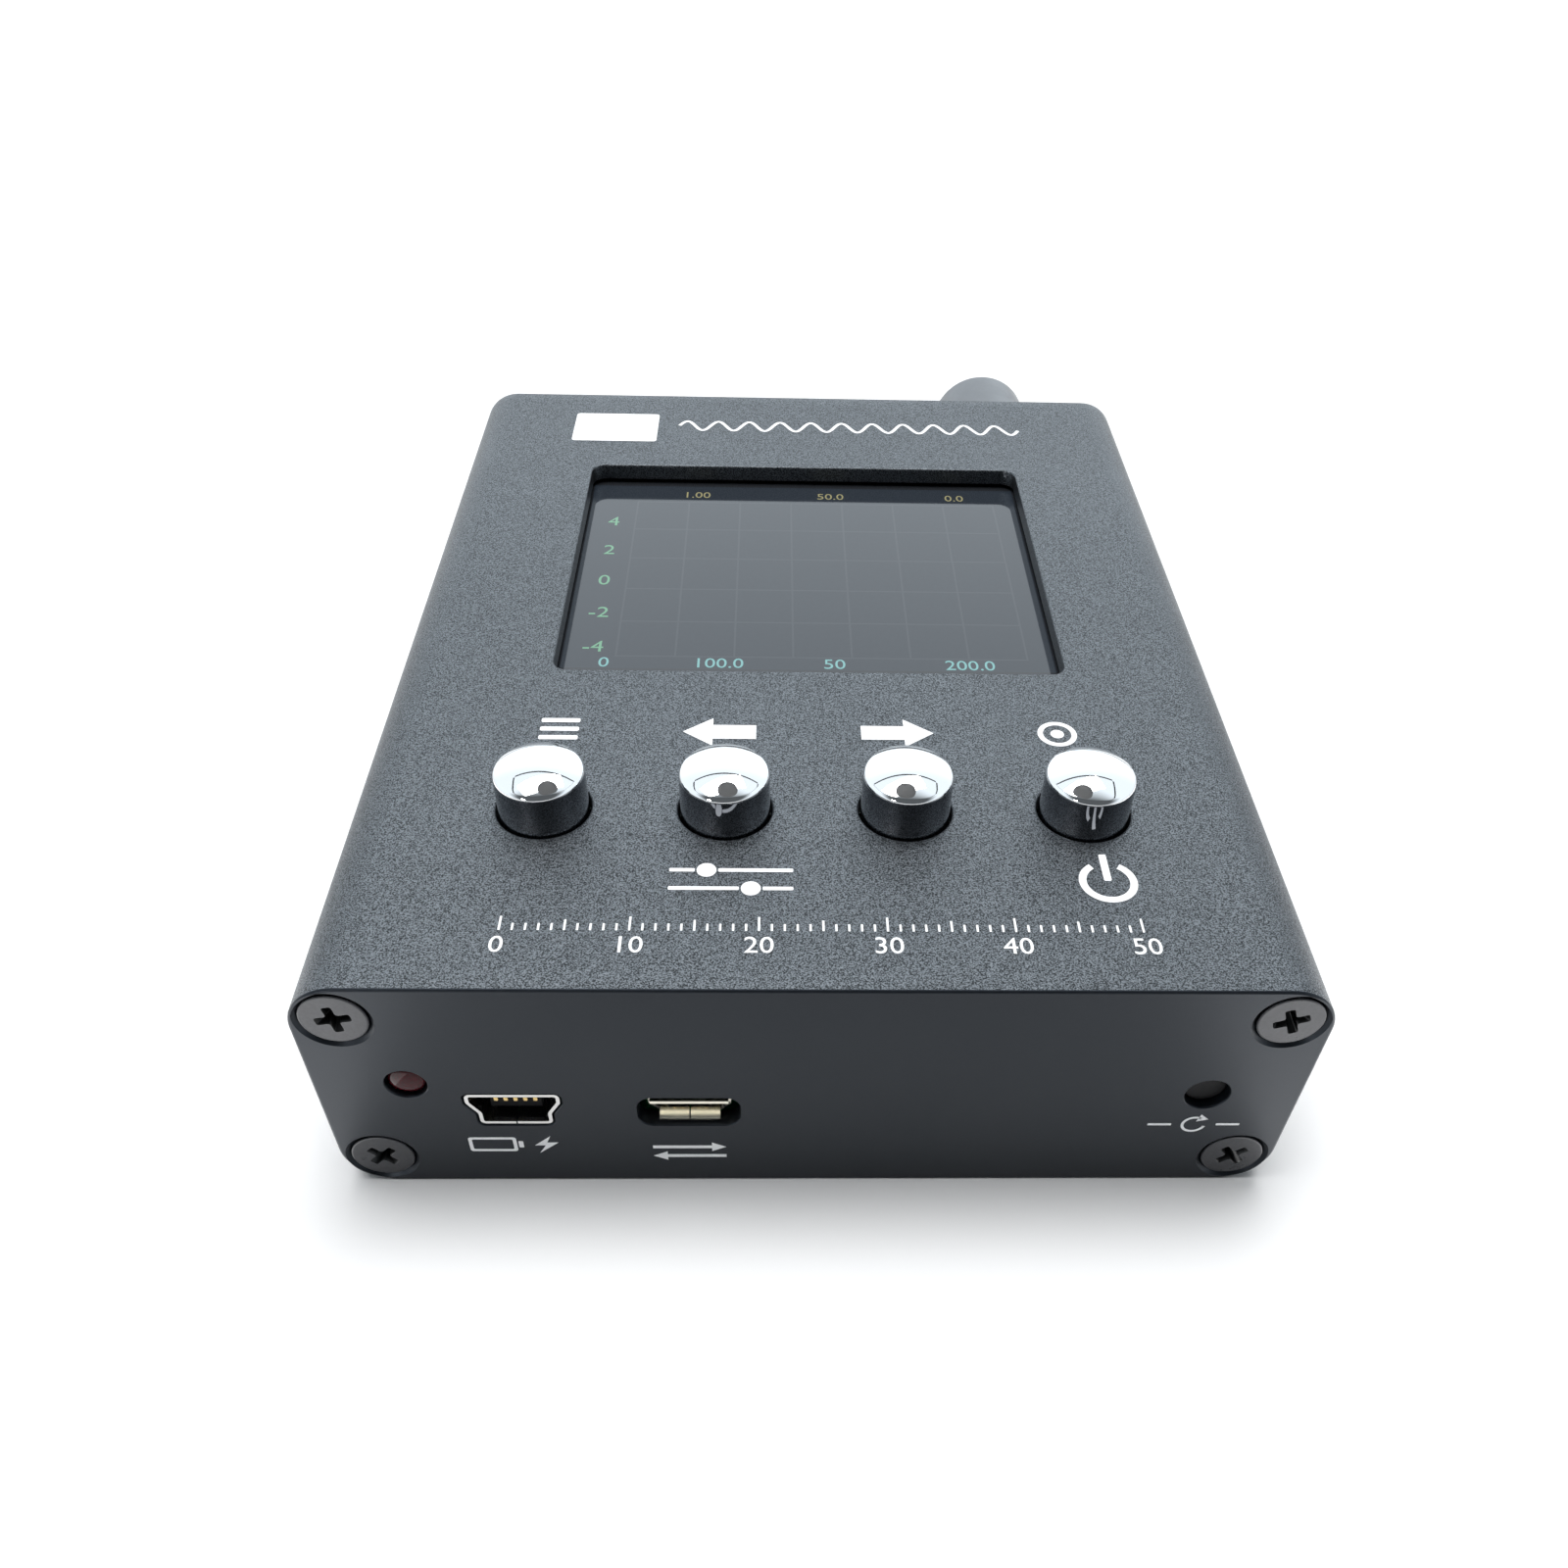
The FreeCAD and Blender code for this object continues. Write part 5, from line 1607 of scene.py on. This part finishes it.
CAMERA_PLACE = Vector((-3.52, -121.38, 98.09))
CAMERA_YAW = 2.542
CAMERA_PITCH = 46.187
CAMERA_ROLL = 2.076
FOCAL_PIXELS = 1336.3
PRINCIPAL_PIXELS = (828.46, 950.52)
IMAGE_PIXELS = 1600


def camera_matrix():
    yaw, pitch, roll = (math.radians(angle) for angle in (CAMERA_YAW, CAMERA_PITCH, CAMERA_ROLL))
    forward = Vector((math.sin(yaw) * math.cos(pitch), math.cos(yaw) * math.cos(pitch), -math.sin(pitch)))
    right = Vector((math.cos(yaw), -math.sin(yaw), 0.0))
    up = right.cross(forward)
    tilted_right = right * math.cos(roll) + up * math.sin(roll)
    tilted_up = up * math.cos(roll) - right * math.sin(roll)
    turn = Matrix((tilted_right, tilted_up, -forward)).transposed().to_4x4()
    return Matrix.Translation(CAMERA_PLACE * MM) @ turn


def area_light(name, place, target, size, power, mirrored):
    lamp = bpy.data.lights.new(name, "AREA")
    lamp.shape = "RECTANGLE"
    lamp.size, lamp.size_y = size
    lamp.energy = power
    holder = bpy.data.objects.new(name, lamp)
    holder.location = Vector(place)
    aim = Vector(target) - Vector(place)
    holder.rotation_euler = aim.to_track_quat("-Z", "Y").to_euler()
    bpy.context.scene.collection.objects.link(holder)
    holder.visible_camera = False
    holder.visible_glossy = mirrored
    return holder


def ray_share(tree, *kinds):
    """One for rays of any of the given kinds, and zero for others."""
    path = tree.nodes.new("ShaderNodeLightPath")
    total = path.outputs["Is %s Ray" % kinds[0]]
    for kind in kinds[1:]:
        total = math_node(tree, "MAXIMUM", total, path.outputs["Is %s Ray" % kind])
    return total


def stage_card(name, vertices, colour, glow, gloss_only=True):
    """A flat card of the studio, with vertices in millimetres, which may be seen in reflections only."""
    mesh = bpy.data.meshes.new(name)
    mesh.from_pydata([Vector(vertex) * MM for vertex in vertices], [], [range(len(vertices))])
    card = bpy.data.objects.new(name, mesh)
    bpy.context.scene.collection.objects.link(card)
    material = bpy.data.materials.new(name)
    material.use_nodes = True
    tree = material.node_tree
    set_inputs(tree, tree.nodes["Principled BSDF"], Base_Color=(*colour, 1), Roughness=0.9,
               Specular_IOR_Level=0.1, Emission_Color=(1, 1, 1, 1), Emission_Strength=glow)
    mesh.materials.append(material)
    if gloss_only:
        card.visible_camera = card.visible_diffuse = card.visible_shadow = card.visible_transmission = False
    return tree


class ANALYZER_OT_stage(bpy.types.Operator):
    """Set the camera, the pale floor, the white tent round the object and its lights"""
    bl_idname = "analyzer.stage"
    bl_label = "Stage"

    def execute(self, context):
        scene = context.scene
        scene.view_settings.view_transform = "Standard"
        self.add_camera(scene)
        self.add_floor()
        self.add_world(scene)
        settings = scene.analyzer_stage
        half = settings.top_power / 2
        area_light("Top light", (-0.04, 0.09, 0.75), (0, 0, 0), (0.7, 0.30), half, True)
        area_light("Top fill", (-0.04, 0.03, 0.75), (0, 0, 0), (0.7, 0.45), half, False)
        self.add_tent(settings.seam_size)
        return {"FINISHED"}

    def add_camera(self, scene):
        data = bpy.data.cameras.new("Camera")
        data.sensor_width = 36.0
        data.lens = data.sensor_width * FOCAL_PIXELS / IMAGE_PIXELS
        data.shift_x = (IMAGE_PIXELS / 2 - PRINCIPAL_PIXELS[0]) / IMAGE_PIXELS
        data.shift_y = (PRINCIPAL_PIXELS[1] - IMAGE_PIXELS / 2) / IMAGE_PIXELS
        data.clip_start = 0.001
        camera = bpy.data.objects.new("Camera", data)
        camera.matrix_world = camera_matrix()
        scene.collection.objects.link(camera)
        scene.camera = camera

    def add_floor(self):
        """A white floor that fades into the tent's white for the camera, away from the object."""
        reach = 3000
        corners = [(-reach, -reach, 0), (reach, -reach, 0), (reach, reach, 0), (-reach, reach, 0)]
        tree = stage_card("White floor", corners, (0.88, 0.885, 0.89), 0.0, gloss_only=False)
        away = vector_number(tree, "LENGTH", object_place(tree))
        fade_start, fade_end, near_glow = 0.16, 0.36, 0.02
        fade = map_range(tree, away, fade_start, fade_end, near_glow, blend="SMOOTHSTEP")
        lift = product(tree, ray_share(tree, "Camera"), fade)
        set_inputs(tree, tree.nodes["Principled BSDF"], Emission_Strength=lift)

    def add_world(self, scene):
        """White all round, dimmer for lighting, and dark behind the camera in reflections."""
        world = bpy.data.worlds.new("White tent")
        world.use_nodes = True
        scene.world = world
        tree = world.node_tree
        settings = scene.analyzer_stage
        outward = tree.nodes.new("ShaderNodeTexCoord").outputs["Generated"]
        near_side = vector_number(tree, "DOT_PRODUCT", outward, (0.0, -0.80, 0.60))
        dark = map_range(tree, near_side, 0.45, 0.80, blend="SMOOTHSTEP")
        open_share = math_node(tree, "SUBTRACT", 1.0, product(tree, dark, settings.front_dimming))
        backlit = map_range(tree, axes(tree, outward)[1], 0.45, 0.95, 1.15, 1.75, "SMOOTHSTEP")
        mirrored = product(tree, ray_share(tree, "Glossy", "Transmission"), open_share, backlit)
        seen = math_node(tree, "MAXIMUM", ray_share(tree, "Camera"), mirrored)
        fill = product(tree, open_share, settings.fill_level)
        cool = mix_colours(tree, ray_share(tree, "Camera"), (0.86, 0.94, 1.0), (1.0, 1.0, 1.0))
        brighter = math_node(tree, "MAXIMUM", seen, fill)
        set_inputs(tree, tree.nodes["Background"], Color=cool, Strength=brighter)

    def add_tent(self, seam):
        """The tent's ceiling seams, the opening in its ceiling, a small window and two floor reflectors."""
        height, back, near, half = 215, 57, -170, 150
        bars = ((-half, half, back, back + seam), (-half - seam, -half, near, back),
                (half, half + seam, near, back))
        for i, (x0, x1, y0, y1) in enumerate(bars):
            corners = [(x0, y0, height), (x1, y0, height), (x1, y1, height), (x0, y1, height)]
            stage_card("Tent seam %d" % i, corners, (0.02, 0.02, 0.02), 0.0)
        rim = [(4 + u, -33 + v, height) for u, v in circle(0, 0, 42, 32)]
        stage_card("Tent opening", rim, (0.15, 0.15, 0.15), 0.0)
        glint = [(-180, -265, 85), (-145, -285, 85), (-145, -272, 118), (-180, -252, 118)]
        stage_card("Small window", glint, (0.9, 0.9, 0.9), 30.0)
        for name, side in (("Reflector left", -1), ("Reflector right", 1)):
            inner, outer, low = side * 41, side * 130, 0.2
            corners = [(inner, -140, low), (outer, -140, low), (outer, 30, low), (inner, -57.7, low)]
            stage_card(name, corners, (0.9, 0.9, 0.9), 1.45)


# Add-on

OPERATORS = (
    ANALYZER_OT_stage, ANALYZER_OT_case, ANALYZER_OT_plates, ANALYZER_OT_screws, ANALYZER_OT_keys,
    ANALYZER_OT_display, ANALYZER_OT_marks, ANALYZER_OT_sockets, ANALYZER_OT_lamp, ANALYZER_OT_reset,
    ANALYZER_OT_port, ANALYZER_OT_inner,
)


class ANALYZER_PT_panel(bpy.types.Panel):
    """Lists the analyzer's settings and the pieces that can be built"""
    bl_label = "Antenna Analyzer"
    bl_idname = "ANALYZER_PT_panel"
    bl_space_type = "VIEW_3D"
    bl_region_type = "UI"
    bl_category = "Analyzer"

    def draw(self, context):
        column = self.layout.column()
        for name, group in SETTINGS.items():
            settings = getattr(context.scene, name)
            for label in group.__annotations__:
                column.prop(settings, label)
        for operator in OPERATORS:
            column.operator(operator.bl_idname)


def register():
    for group in SETTINGS.values():
        bpy.utils.register_class(group)
    for name, group in SETTINGS.items():
        setattr(bpy.types.Scene, name, bpy.props.PointerProperty(type=group))
    for operator in OPERATORS:
        bpy.utils.register_class(operator)
    bpy.utils.register_class(ANALYZER_PT_panel)


def unregister():
    bpy.utils.unregister_class(ANALYZER_PT_panel)
    for operator in reversed(OPERATORS):
        bpy.utils.unregister_class(operator)
    for name, group in reversed(list(SETTINGS.items())):
        delattr(bpy.types.Scene, name)
        bpy.utils.unregister_class(group)


def main():
    register()
    for operator in OPERATORS:
        family, name = operator.bl_idname.split(".")
        getattr(getattr(bpy.ops, family), name)()


if __name__ == "__main__":
    main()
